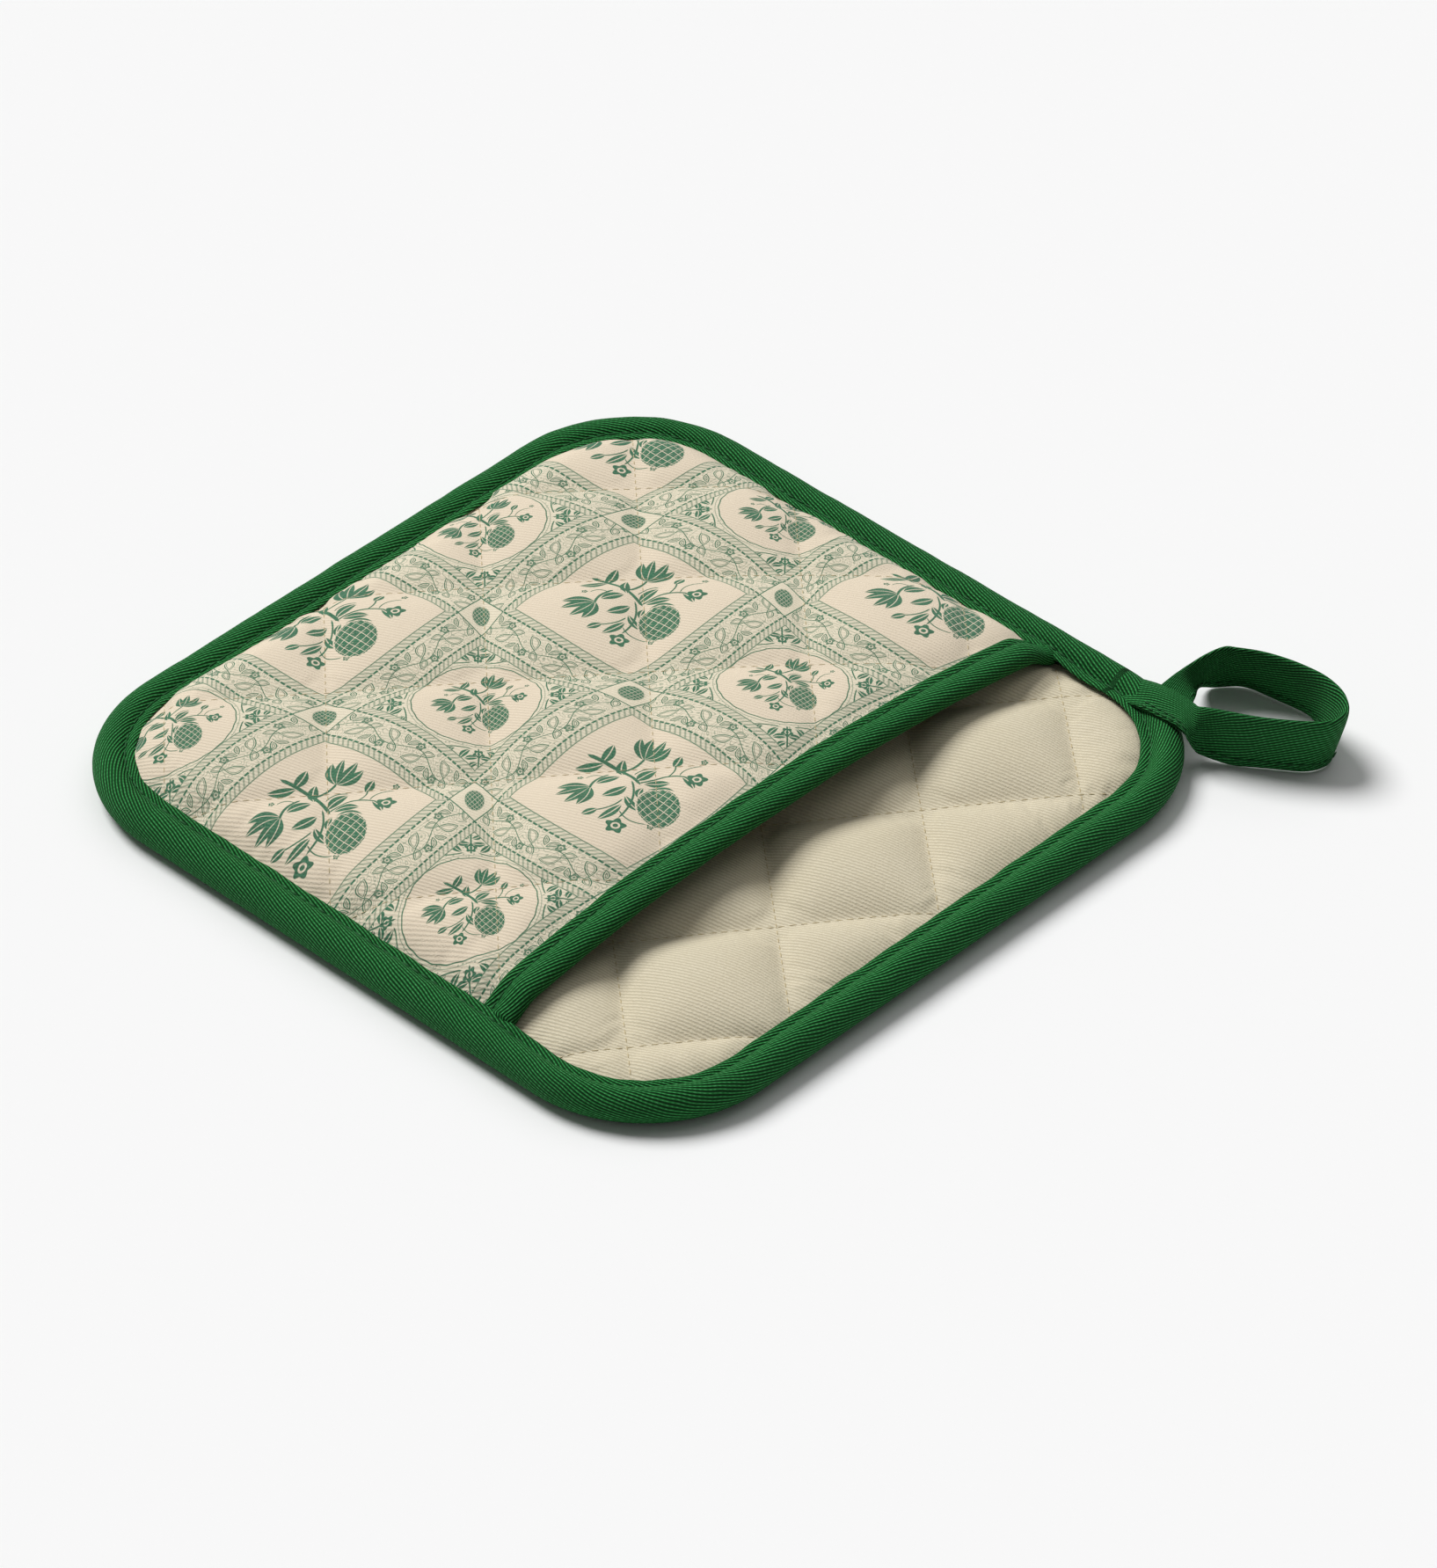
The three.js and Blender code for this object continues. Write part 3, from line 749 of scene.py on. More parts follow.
def cone(x, y, across, tall):
    """A ripe cone of overlapping pointed scales."""
    rx, ry = x / across, y / tall
    round_part = rx * rx + ry * ry
    swell = 1 + round_part * 0.25
    s, t = rx * swell * 1.75 + ry * swell * 1.9, rx * swell * 1.75 - ry * swell * 1.9
    fs, ft = s.math("FRACT"), t.math("FRACT")
    scale = least(fs, ft * -1 + 1, 1.12 - fs, ft + 0.12) - 0.09
    bumpy = 1 - round_part + least(abs(fs - 0.5), abs(ft - 0.5)) * 0.35
    shine = abs(fs - ft - 0.12) - 0.025
    return least(bumpy * (across * 0.4), scale * (across * 0.42),
                 most(shine, abs(fs + ft - 0.6) - 0.2) * across)


def tilted(x, y):
    """The place seen along the sprig's slanting axis."""
    return x * 0.69 - y * 0.72, x * 0.72 + y * 0.69


def printed_cotton():
    """Roller-printed plain-weave cotton: a flat green ink, a little uneven, sunk into a peach ground."""
    cloth, tree, shader = new_material("printed_plain_weave_cotton", {**WOVEN, "Roughness": 0.9})
    colours = bpy.context.scene.pot_holder_colours
    place, x, y = cloth_place(tree)
    cu = (x - TRELLIS_CROSSING[0]) / TRELLIS_STEP[0]
    cv = (y - TRELLIS_CROSSING[1]) / TRELLIS_STEP[1]
    wave_u, wave_v = cu * math.pi, cv * math.pi
    f = cu + wave_u.math("COSINE") * wave_v.math("SINE") * TRELLIS_BOW
    g = cv + wave_v.math("COSINE") * wave_u.math("SINE") * TRELLIS_BOW
    across_f = (f - f.math("ROUND")) * TRELLIS_STEP[0]
    across_g = (g - g.math("ROUND")) * TRELLIS_STEP[1]
    a, b = abs(across_f), abs(across_g)
    nearest, furthest = least(a, b), most(a, b)
    column, row = f.math("FLOOR"), g.math("FLOOR")
    round_cell = (column + row).math("FLOORED_MODULO", 2.0)
    lx = (cu - column - 0.5) * TRELLIS_STEP[0]
    ly = (cv - row - 0.5) * TRELLIS_STEP[1]
    radius = (lx * lx + ly * ly).math("SQRT")
    in_panel = inked(nearest - BORDER)
    in_crossing = inked(BAND - furthest)
    in_ring = inked(MEDALLION - radius)
    plain = in_panel * choose(round_cell, 1, in_ring)

    # The sprig, smaller inside a medallion.
    grow = choose(round_cell, 1, 1.5)
    p, q = (part * grow for part in tilted(lx, ly))
    here = add(tree, "ShaderNodeCombineXYZ", {0: p, 1: q}).outputs[0]
    group = leaf_tree()
    drawn = strokes(tree, group, here, SPRIG)
    for at_x, at_y, size in ROSETTES:
        drawn = most(drawn, rosette(p, q, at_x, at_y, size))
    cx, cy = p - CONE[0], q - CONE[1]
    ex, ey = cx / (CONE[2] + 0.5), cy / (CONE[3] + 0.5)
    drawn = most(least(drawn, (ex * ex + ey * ey - 1) * 3.0), cone(cx, cy, CONE[2], CONE[3]))
    sprig = inked(drawn, 0.15) * plain

    # The bands: borders, a vine between them, and a small cone at each crossing.
    along_is_v = a < b
    along = choose(along_is_v, f * TRELLIS_STEP[0], g * TRELLIS_STEP[1])
    across = choose(along_is_v, across_g, across_f)
    dash = wave(along, 1.7) > 0.16
    borders = most(line(nearest - BAND, 0.55) * (dash * 0.75 + 0.25), line(nearest - BORDER, 0.3) * 0.85,
                   line(furthest - BAND, 0.32) * (nearest < BAND))
    middle = (BAND + BORDER) / 2
    in_rope = inked((BORDER - BAND) / 2 - 0.15 - abs(nearest - middle))
    rope = (inked(wave(along + nearest * 0.9, 1.5) - 0.7, 0.35) * 0.5 + 0.1) * in_rope
    half_turn = (along / VINE_STEP).math("FLOOR").math("FLOORED_MODULO", 2.0) * -2 + 1
    step = ((along / VINE_STEP).math("FRACT") - 0.5) * VINE_STEP
    vine_place = add(tree, "ShaderNodeCombineXYZ", {0: across * half_turn, 1: step}).outputs[0]
    vine = strokes(tree, group, vine_place, VINE)
    wander = (along * (math.pi / VINE_STEP)).math("SINE") * 1.5
    small = rosette(across * half_turn, step, 2.5, 0.9, 1.3)
    scroll = noise(tree, place, 0.42, 0.0)
    curls = line((scroll * 7.0).math("FRACT") - 0.5, 0.22) * 0.5
    in_band = inked(BAND - 0.35 - nearest) * (1 - in_crossing)
    filling = most(line(vine, 0.26), line(vine - 0.42, 0.2) * 0.8, line(across - wander, 0.24),
                   inked(small) * 0.9, curls * (1 - inked(vine + 0.3))) * in_band
    seed = inked(cone(*tilted(across_f, across_g), 2.5, 3.1), 0.2) * in_crossing

    # Outside the medallions: a ring, corner sprays and speckle.
    outside = in_panel * round_cell * (1 - in_ring)
    fx, fy = abs(lx), abs(ly)
    out, aside = (fx + fy) * math.sqrt(0.5), abs(fx - fy) * math.sqrt(0.5)
    corner = add(tree, "ShaderNodeCombineXYZ", {0: out, 1: aside}).outputs[0]
    spray = most(inked(strokes(tree, group, corner, SPRAY)), inked(rosette(out, aside, 18.4, 0.0, 1.5)))
    dots = add(tree, "ShaderNodeTexVoronoi", {"Vector": place, "Scale": 0.95})
    speckle = inked(0.2 - Wire(tree, dots.outputs["Distance"]), 0.14) * 0.6
    cusps = wave(ly.math("ARCTAN2", lx), 2 * math.pi / 24) * 0.35
    ring = most(line(radius - MEDALLION + cusps * 0.4, 0.28), line(radius - MEDALLION - 0.75, 0.18) * 0.6)
    ring = ring * in_panel * round_cell
    ink = most(sprig, borders, rope, filling, seed, most(spray, speckle) * outside, ring)

    patchy = noise(tree, place, 0.35)
    fibre = noise(tree, place, 2.2)
    ground = mix(tree, 1 - plain, colours.panel_ground, colours.band_ground)
    ground = mix(tree, fibre * 0.25, ground, linear("#f0e4cc"))
    # Wales 0.9 mm apart, coarser than the cloth's own, so that they show.
    wale = wave(x * 0.94 + y * 0.34 + fibre * 0.6, 0.9)
    ground = mix(tree, wale * (fibre * 0.3 + 0.02), ground, linear("#b39f80"))
    green = mix(tree, patchy, colours.ink, colours.ink_thin)
    colour = mix(tree, ink * (0.78 + fibre * 0.3), ground, green)
    finish_look(tree, shader, colour, fibre - wale * 0.6, 0.7, 0.00016)
    return cloth


MAKERS = {
    "print": printed_cotton, "cream": cream_cotton, "twill": green_twill,
    "wadding": cotton_wadding, "floor": studio_floor,
    "green_thread": lambda: spun_thread("green_sewing_thread", "#0c3f1a", "#1f6b33"),
    "tan_thread": lambda: spun_thread("tan_sewing_thread", "#b3a37c", "#cfc09a"),
}
MADE = {}


def material(kind):
    """The material of one kind, made once."""
    if kind not in MADE:
        MADE[kind] = MAKERS[kind]()
    return MADE[kind]


def dress(obj, kind):
    """Gives the piece its material."""
    obj.data.materials.clear()
    obj.data.materials.append(material(kind))
    return obj


# ---- baked placements -----------------------------------------------------------------------
def ride_pocket(obj):
    """Bakes the piece's placement into its mesh; its share of the pocket's lift is worked out but not used.
    """
    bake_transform(obj)
    share = lift_share(coordinates(obj)[:, 0])
    return obj


def diagonal_point(out, side):
    """A place given along the loop's corner diagonal and to its side, in plan."""
    return (out + side) / math.sqrt(2), (side - out) / math.sqrt(2)


def ride_loop(obj):
    """Bakes the piece's placement into its mesh; the span where the tape leaves the corner is passed on but
    not used.
    """
    start, end = diagonal_point(125, 0), diagonal_point(134, 0)
    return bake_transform(obj, "pad", "loop", start=(start[0] * MM, start[1] * MM, 0.008),
                    end=(end[0] * MM, end[1] * MM, 0.008))


# ---- pieces ---------------------------------------------------------------------------------
def bound_by_edge(x, y):
    return inset_at(x, y) < BOUND_INSET


def declare_sheet(cloth, kind, node):
    """Gives a cloth its look and hides its CAD node. The cloth lies stretched over its wadding."""
    dress(cloth, kind)
    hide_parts(node)


def make_pad_cloths(sizes):
    """The pad's lining and its printed back, each quilted on its own."""
    end = HALF - PAD_CLOTH_INSET
    x, y = panel_points(PAD_CLOTH_INSET, -end, end, 1.6)
    lining = quilted_cloth("pad_lining", x, y, pad_base, PAD_QUILT, bound_by_edge, 1, sizes.lining_spare,
                           sizes.lining_puff / MM, 45)
    places = coordinates(lining)
    places[:, 2] = np.minimum(places[:, 2], pocket_underside(places[:, 0], places[:, 1]) - 0.25)
    set_coordinates(lining, places)
    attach(lining, "pad")
    declare_sheet(lining, "cream", "pad_lining_cloth")

    def underside(px, py):
        return 1.6 - 0.2 * smooth(9, 17, inset_at(px, py))

    back = quilted_cloth("printed_back", x, y, underside, BACK_QUILT, bound_by_edge, -1, sizes.back_spare,
                         sizes.back_puff / MM, 40)
    places = coordinates(back)
    places[:, 2] = np.maximum(places[:, 2], 0.05)
    set_coordinates(back, places)
    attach(back, "pad")
    declare_sheet(back, "print", "back_cloth")
    return lining, back


def closed_layer(name, x, y, low, high):
    """A closed pad between two heights over the same grid."""
    rows, columns = x.shape
    top = np.stack([x.ravel(), y.ravel(), high.ravel()], 1)
    bottom = np.stack([x.ravel(), y.ravel(), low.ravel()], 1)
    count = rows * columns
    faces = grid_faces(rows, columns)
    faces += [tuple(v + count for v in face)[::-1] for face in grid_faces(rows, columns)]
    rim = list(range(columns)) + [j * columns + columns - 1 for j in range(1, rows)]
    rim += [(rows - 1) * columns + i for i in range(columns - 2, -1, -1)]
    rim += [j * columns for j in range(rows - 2, 0, -1)]
    for k, a in enumerate(rim):
        b = rim[(k + 1) % len(rim)]
        faces.append((a, b, b + count, a + count)[::-1])
    obj = mesh_object(name, np.concatenate([top, bottom]), faces)
    return outward(obj)


def make_waddings():
    """The wadding inside the pad, then inside the pocket."""
    inset = 6.0
    x, y = panel_points(inset, inset - HALF, HALF - inset, 4.0)
    to_i, to_j = lattice_distance(x, y, PAD_QUILT)
    puff = np.tanh(to_i / 8) * np.tanh(to_j / 8) * smooth(8, 16, inset_at(x, y))
    core = closed_layer("pad_core", x, y, 3.4 - 0.7 * puff, pad_base(x, y) - 0.8 + 1.1 * puff)
    dress(core, "wadding")
    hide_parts("pad_wadding")
    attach(core, "pad")
    x, y = panel_points(9.4, MOUTH_Y + 2.2, HALF - 9.4, 4.0, False)
    to_i, to_j = lattice_distance(x, y, POCKET_QUILT)
    inside = smooth(10, 18, inset_at(x, y)) * smooth(MOUTH_SEAM_Y, MOUTH_SEAM_Y + 8, y)
    puff = np.tanh(to_i / 8) * np.tanh(to_j / 8) * inside
    under, face = pocket_underside(x, y), pocket_face(x, y)
    core = closed_layer("pocket_core", x, y, under + 0.75, face - 0.5 + 0.8 * puff)
    dress(core, "wadding")
    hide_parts("pocket_wadding")
    ride_pocket(core)


def make_pocket_cloths(sizes):
    """The pocket's printed face with its quilting stitches, and its lining."""
    low, end = MOUTH_Y + 1.8, HALF - POCKET_CLOTH_INSET
    x, y = panel_points(POCKET_CLOTH_INSET, low, end, 1.6, False)

    def bound(px, py):
        return bound_by_edge(px, py) | (py < MOUTH_SEAM_Y + 0.4)

    face = quilted_cloth("pocket_print", x, y, pocket_face, POCKET_QUILT, bound, 1, sizes.print_spare,
                         sizes.print_puff / MM, 35)
    # The lining is the same panel, seen only through the mouth.
    x, y = panel_points(POCKET_CLOTH_INSET, low, end, 2.4, False)
    to_i, to_j = lattice_distance(x, y, POCKET_QUILT)
    sag = np.tanh(to_i / 7) * np.tanh(to_j / 7) * smooth(12, 24, inset_at(x, y))
    z = pocket_underside(x, y) + 0.6 - 0.55 * sag
    lining = mesh_object("pocket_lining", np.stack([x.ravel(), y.ravel(), z.ravel()], 1),
                         [f[::-1] for f in grid_faces(*x.shape)], np.stack([x.ravel(), y.ravel()], 1))
    subdivided(lining)

    def region(px, py):
        return py > MOUTH_SEAM_Y + 0.5 and inset_at(px, py) > BOUND_INSET + 0.3

    rows = quilting_rows(POCKET_QUILT, region, surface_tree(face))
    thread = stitch_rows("pocket_quilting", rows, "tan_thread", sizes.quilting_pitch / MM, 1.6, 0.12)
    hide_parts("pocket_quilting_thread")
    for piece in (face, lining, thread):
        ride_pocket(piece)
    flat = (2 * end * MM, (end - low) * MM)
    declare_sheet(face, "print", "pocket_print_cloth")
    declare_sheet(lining, "cream", "pocket_lining_cloth")


def make_pad_quilting(sizes, lining, back):
    """The stitches that hold the pad's lining and its back down to the wadding."""
    def region(px, py):
        return inset_at(px, py) > BOUND_INSET + 0.4

    pitch = sizes.quilting_pitch / MM
    rows = quilting_rows(PAD_QUILT, region, surface_tree(lining))
    front = stitch_rows("pad_quilting", rows, "tan_thread", pitch, 1.7, 0.13)
    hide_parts("pad_quilting_thread")
    rows = quilting_rows(BACK_QUILT, region, surface_tree(back), False)
    under = stitch_rows("back_quilting", rows, "tan_thread", pitch, 1.6, 0.12)
    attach(front, "pad")
    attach(under, "pad")


# The edge binding's section, as (inset, height): round its outer face from the underside, over the rolled
# edge and the stitched groove to the flange's fold, and back inside.
BINDING_SECTION = ((9.6, 0.15), (7.6, 0.02), (5.2, 0.0), (3.2, 0.35), (1.5, 1.4), (0.45, 2.9), (0.05, 4.6),
                   (0.25, 6.2), (1.0, 7.7), (2.3, 8.9), (4.0, 9.5), (5.8, 9.4), (7.0, 8.8), (7.6, 8.05),
                   (8.0, 7.9), (8.5, 8.35), (9.5, 8.5), (10.3, 8.3), (10.45, 7.85), (9.9, 7.5), (7.8, 7.3),
                   (5.0, 8.4), (2.8, 7.8), (1.6, 6.2), (1.3, 4.4), (2.0, 2.4), (4.2, 1.2), (9.4, 1.1))


def outline_frame(distance):
    """A point that far round the pad's outline, and the outward direction there."""
    straight = 2 * (HALF - CORNER_RADIUS)
    arc = math.pi / 2 * CORNER_RADIUS
    distance %= 4 * (straight + arc)
    side, along = divmod(distance, straight + arc)
    angle = side * math.pi / 2
    if along < straight:
        local, normal = (HALF, along - straight / 2), (1.0, 0.0)
    else:
        turn = (along - straight) / CORNER_RADIUS
        centre = HALF - CORNER_RADIUS
        normal = (math.cos(turn), math.sin(turn))
        local = (centre + CORNER_RADIUS * normal[0], centre + CORNER_RADIUS * normal[1])
    c, s = math.cos(angle), math.sin(angle)
    return ((local[0] * c - local[1] * s, local[0] * s + local[1] * c),
            (normal[0] * c - normal[1] * s, normal[0] * s + normal[1] * c))


OUTLINE_LENGTH = 4 * (2 * (HALF - CORNER_RADIUS) + math.pi / 2 * CORNER_RADIUS)
# The dimples that a seam's stitches press into its groove, from one to the next.
GROOVE_PITCH = 3.0


def running_length(section):
    """How far round a closed section each of its points lies."""
    steps = np.linalg.norm(np.diff(np.asarray(section), axis=0, append=[section[0]]), axis=1)
    return np.concatenate([[0], np.cumsum(steps)[:-1]])


def uneven(place, pitches, phases, fade, scale):
    """A sum of waves with fading strength, for tape that doesn't lie quite straight."""
    return sum(math.sin(place * n + phase) / (1 + k * fade)
               for k, (n, phase) in enumerate(zip(pitches, phases))) / scale


def make_edge_binding(sizes):
    """The bias tape folded round the pad's edge, and its row of stitches."""
    stations = 420
    across = running_length(BINDING_SECTION)
    rng = np.random.default_rng(7)
    roll_phases, sway_phases = rng.uniform(0, 2 * math.pi, (2, 6))
    counts = (23, 37, 52, 71, 95, 131)

    def section_at(i):
        distance = i / stations * OUTLINE_LENGTH
        (x, y), (nx, ny) = outline_frame(distance)
        stitch = 0.5 + 0.5 * math.cos(2 * math.pi * distance / GROOVE_PITCH)
        turns = distance / OUTLINE_LENGTH * 2 * math.pi
        roll = 0.22 * uneven(turns, counts, roll_phases, 0.4, 3)
        sway = 0.3 * uneven(turns, counts, sway_phases, 0.4, 3)
        low = flange_drop(y)
        ring = []
        for inset, z in BINDING_SECTION:
            top = smooth(6.0, 8.5, z)
            near_seam = math.exp(-((inset - STITCH_INSET) / 0.7) ** 2) * top
            inset_now = inset + sway * smooth(6.5, 9, inset) * 0.8
            z_now = z + roll * top - low * smooth(3, 9, inset) * smooth(5, 7, z) - 0.25 * stitch * near_seam
            ring.append((x - nx * inset_now, y - ny * inset_now, max(z_now, 0.0)))
        return ring

    def uv_at(i):
        distance = i / stations * OUTLINE_LENGTH
        return np.stack([np.full(len(across), distance), across], 1)

    binding = swept("edge_tape", stations, section_at, uv_at, True)
    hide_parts("edge_binding")
    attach(binding, "pad")
    row = []
    for i in range(int(OUTLINE_LENGTH) + 1):
        (x, y), (nx, ny) = outline_frame(i * OUTLINE_LENGTH / int(OUTLINE_LENGTH))
        row.append((x - nx * STITCH_INSET, y - ny * STITCH_INSET, 8.0 - flange_drop(y)))
    thread = stitch_rows("edge_topstitch", [row], "green_thread", sizes.seam_pitch / MM, 2.5, 0.24)
    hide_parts("edge_binding_thread")
    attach(thread, "pad")


# The mouth binding's section, as (distance in from the mouth's edge, height over the pocket's underside).
MOUTH_SECTION = ((9.0, -0.75), (6.0, -1.0), (3.0, -1.1), (1.2, -0.7), (0.2, 0.35), (0.0, 1.7), (0.5, 3.1),
                 (1.9, 4.1), (3.7, 4.3), (5.3, 3.9), (6.3, 3.0), (6.7, 2.6), (7.1, 2.95), (8.2, 3.3),
                 (9.0, 3.1), (9.25, 2.65), (8.6, 2.35), (5.6, 2.3), (3.4, 2.6), (1.7, 2.1), (1.3, 1.2),
                 (1.9, 0.2), (4.0, -0.1), (8.8, -0.1))


def make_mouth_binding(sizes):
    """The bias tape folded over the pocket's mouth, and its row of stitches."""
    stations = 130
    reach = HALF - 8.7
    across = running_length(MOUTH_SECTION)
    rng = np.random.default_rng(11)
    phases = rng.uniform(0, 2 * math.pi, 5)

    def waver(x):
        return uneven(x, (0.11, 0.19, 0.31, 0.47, 0.71), phases, 0.5, 2.5)

    def section_at(i):
        x = reach * (2 * i / (stations - 1) - 1)
        press = 1 - 0.1 * smooth(HALF - 16, HALF - 9, abs(x))
        stitch = 0.5 + 0.5 * math.cos(2 * math.pi * x / GROOVE_PITCH)
        ring = []
        for inward, height in MOUTH_SECTION:
            y = MOUTH_Y + inward + 0.25 * waver(x) * smooth(4, 8, inward)
            near_seam = math.exp(-((inward - MOUTH_STITCH) / 0.6) ** 2) * smooth(1.5, 2.5, height)
            z = pocket_underside(x, y) + height * press + 0.15 * waver(x + 40) - 0.2 * stitch * near_seam
            ring.append((x, y, float(z)))
        return ring

    def uv_at(i):
        x = reach * (2 * i / (stations - 1) - 1)
        return np.stack([np.full(len(across), x), across], 1)

    binding = swept("mouth_tape", stations, section_at, uv_at, False)
    y = MOUTH_Y + MOUTH_STITCH
    row = [(x, y, float(pocket_underside(x, y)) + 2.75) for x in np.linspace(-reach + 2, reach - 2, 180)]
    thread = stitch_rows("mouth_topstitch", [row], "green_thread", sizes.seam_pitch / MM, 2.5, 0.24)
    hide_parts("mouth_binding")
    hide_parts("mouth_binding_thread")
    ride_pocket(binding)
    ride_pocket(thread)


def smooth_route(points, count):
    """A smooth curve through places of many numbers, at even steps along the first three, with its slopes."""
    p = np.asarray(points, float)
    padded = np.vstack([2 * p[0] - p[1], p, 2 * p[-1] - p[-2]])
    fine = []
    for k in range(len(p) - 1):
        a, b, c, d = padded[k:k + 4]
        for t in np.linspace(0, 1, 24, endpoint=False):
            fine.append(0.5 * (2 * b + (c - a) * t + (2 * a - 5 * b + 4 * c - d) * t**2
                               + (3 * b - a - 3 * c + d) * t**3))
    fine.append(p[-1])
    fine = np.array(fine)
    lengths = np.concatenate([[0], np.cumsum(np.linalg.norm(np.diff(fine[:, :3], axis=0), axis=1))])
    even = np.linspace(0, lengths[-1], count)
    route = np.stack([np.interp(even, lengths, column) for column in fine.T], 1)
    return route, np.gradient(route, axis=0), even


# The tape's edges before and after LOOP_ROUTE. Each key is (out, side, height) of its lower edge and of its
# upper edge, how far it is draped over the edge binding's roll, and half its thickness.
LAP_KEYS = (
    ((110.8, 16.4, 4.6), (116.2, 25.0, 3.6), 0.88, 0.3), ((115.2, 11.6, 7.2), (121.6, 19.8, 5.4), 0.85, 0.45),
    ((119.9, 5.4, 9.2), (124.6, 15.4, 8.6), 0.45, 0.6), ((124.3, 0.2, 9.9), (127.1, 11.2, 10.3), 0.1, 0.7),
    ((126.7, -2.0, 8.2), (128.6, 6.2, 12.6), 0.0, 0.8), ((127.9, -1.2, 5.0), (129.2, 2.6, 14.7), 0.0, 0.9),
    ((129.6, 0.6, 1.8), (131.4, 0.8, 15.7), 0.0, 0.95))
BACK_KEYS = (
    ((134.6, 27.8, 0.4), (136.5, 23.0, 15.8), 0.0, 0.95), ((131.5, 26.0, 1.8), (132.9, 21.9, 14.9), 0.0, 0.9),
    ((130.2, 21.2, 4.4), (129.2, 20.4, 13.6), 0.0, 0.85), ((129.4, 15.6, 6.6), (124.9, 19.0, 11.4), 0.0, 0.8),
    ((127.8, 10.2, 7.4), (120.8, 17.0, 9.0), 0.0, 0.7), ((123.6, 6.4, 6.8), (116.8, 14.2, 7.6), 0.0, 0.6))


def loop_keys():
    """The tape's edges at each key place: lapped over the edge binding at first, then upright as the loop."""
    route = [(*diagonal_point(out, side), lean) for out, side, lean in LOOP_ROUTE]
    upright = []
    for k, (x, y, lean) in enumerate(route):
        before, after = route[max(k - 1, 0)], route[min(k + 1, len(route) - 1)]
        dx, dy = after[0] - before[0], after[1] - before[1]
        size = math.hypot(dx, dy)
        lean_x, lean_y = dy / size * lean, -dx / size * lean
        upright.append((x - lean_x, y - lean_y, LOOP_LOW[2], x + lean_x, y + lean_y, LOOP_HIGH[2],
                        0.0, 0.95))

    def ends(table):
        return [(*diagonal_point(*low[:2]), low[2], *diagonal_point(*high[:2]), high[2], draped, half_thick)
                for low, high, draped, half_thick in table]

    return ends(LAP_KEYS) + upright + ends(BACK_KEYS)


# How the lap drapes over the roll: share of the tape's width, inset, height.
LAP_SHARE = (0.0, 0.06, 0.13, 0.2, 0.35, 0.6, 0.85, 0.95, 1.0)
LAP_INSET = (10.6, 10.3, 9.3, 8.1, 6.6, 3.6, 0.5, -0.5, -0.6)
LAP_HEIGHT = (6.5, 7.1, 7.4, 7.4, 8.9, 10.0, 8.0, 5.9, 4.6)


def slack(v, drape):
    """How far a draped value at that share of the width lies from the straight line between its ends."""
    return np.interp(v, LAP_SHARE, drape) - (drape[0] + (drape[-1] - drape[0]) * v)


def make_loop(sizes):
    """The hanging loop's folded tape, its two rows of stitches and its bar tack."""
    stations = 190
    route, directions, lengths = smooth_route(loop_keys(), stations)
    # The folded tape's section: (across its thickness, share of its width), with a soft open lower edge.
    section = ((-0.5, 0.0), (-0.95, 0.05), (-1.0, 0.13), (-0.85, 0.2), (-0.95, 0.35), (-1.0, 0.6),
               (-0.95, 0.85), (-0.6, 0.97), (0.0, 1.0), (0.6, 0.97), (0.95, 0.85), (1.0, 0.6),
               (0.95, 0.35), (0.85, 0.2), (1.0, 0.13), (0.95, 0.05), (0.5, 0.0), (0.1, 0.06), (-0.1, 0.06))
    across = running_length([(u, v * TAPE_WIDTH) for u, v in section])

    def tape_point(i, u, v):
        low, high = route[i][0:3], route[i][3:6]
        draped, thick = route[i][6:8]
        width = (high - low) / np.linalg.norm(high - low)
        normal = np.cross((directions[i][0:3] + directions[i][3:6]) / 2, width)
        normal /= np.linalg.norm(normal)
        ripple = 0.3 * math.sin(lengths[i] * 0.33) * (1 - v) * (1 - draped)
        point = low + (high - low) * v + normal * (u * thick + ripple)
        inward = (low - high) * (1, 1, 0)
        inward /= max(np.linalg.norm(inward), 1e-6)
        sunk = np.array((0, 0, slack(v, LAP_HEIGHT) * draped))
        return point + inward * slack(v, LAP_INSET) * draped + sunk

    def section_at(i):
        return [tape_point(i, u, v) for u, v in section]

    def uv_at(i):
        return np.stack([np.full(len(across), lengths[i]), across], 1)

    loop = swept("loop_tape", stations, section_at, uv_at, False)
    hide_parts("hanging_loop", "loop_front_end", "loop_back_end")
    first = int(np.searchsorted(lengths, 30))
    rows = [[tuple(tape_point(i, side * 1.06, 0.17)) for i in range(first, stations - 10)]
            for side in (-1.0, 1.0)]
    thread = stitch_rows("loop_topstitch", rows, "green_thread", sizes.seam_pitch / MM, 2.4, 0.22)
    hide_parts("loop_thread")
    ride_loop(loop)
    ride_loop(thread)
    # Two close rows of stitches hold the lap's lower edge down across the binding.
    tack_rows = [[tuple(tape_point(i, 1.3, v)) for i in range(first // 3, first - 4)] for v in (0.07, 0.16)]
    tack = stitch_rows("loop_tack", tack_rows, "green_thread", 2.2, 1.8, 0.2)
    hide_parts("loop_bar_tack")
    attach(tack, "pad")


# ---- stage ----------------------------------------------------------------------------------
CAMERA = {"azimuth": -46.334, "elevation": 39.444, "distance": 2127.9, "right": 18.387, "up": -3.071,
          "lens": 211.5}


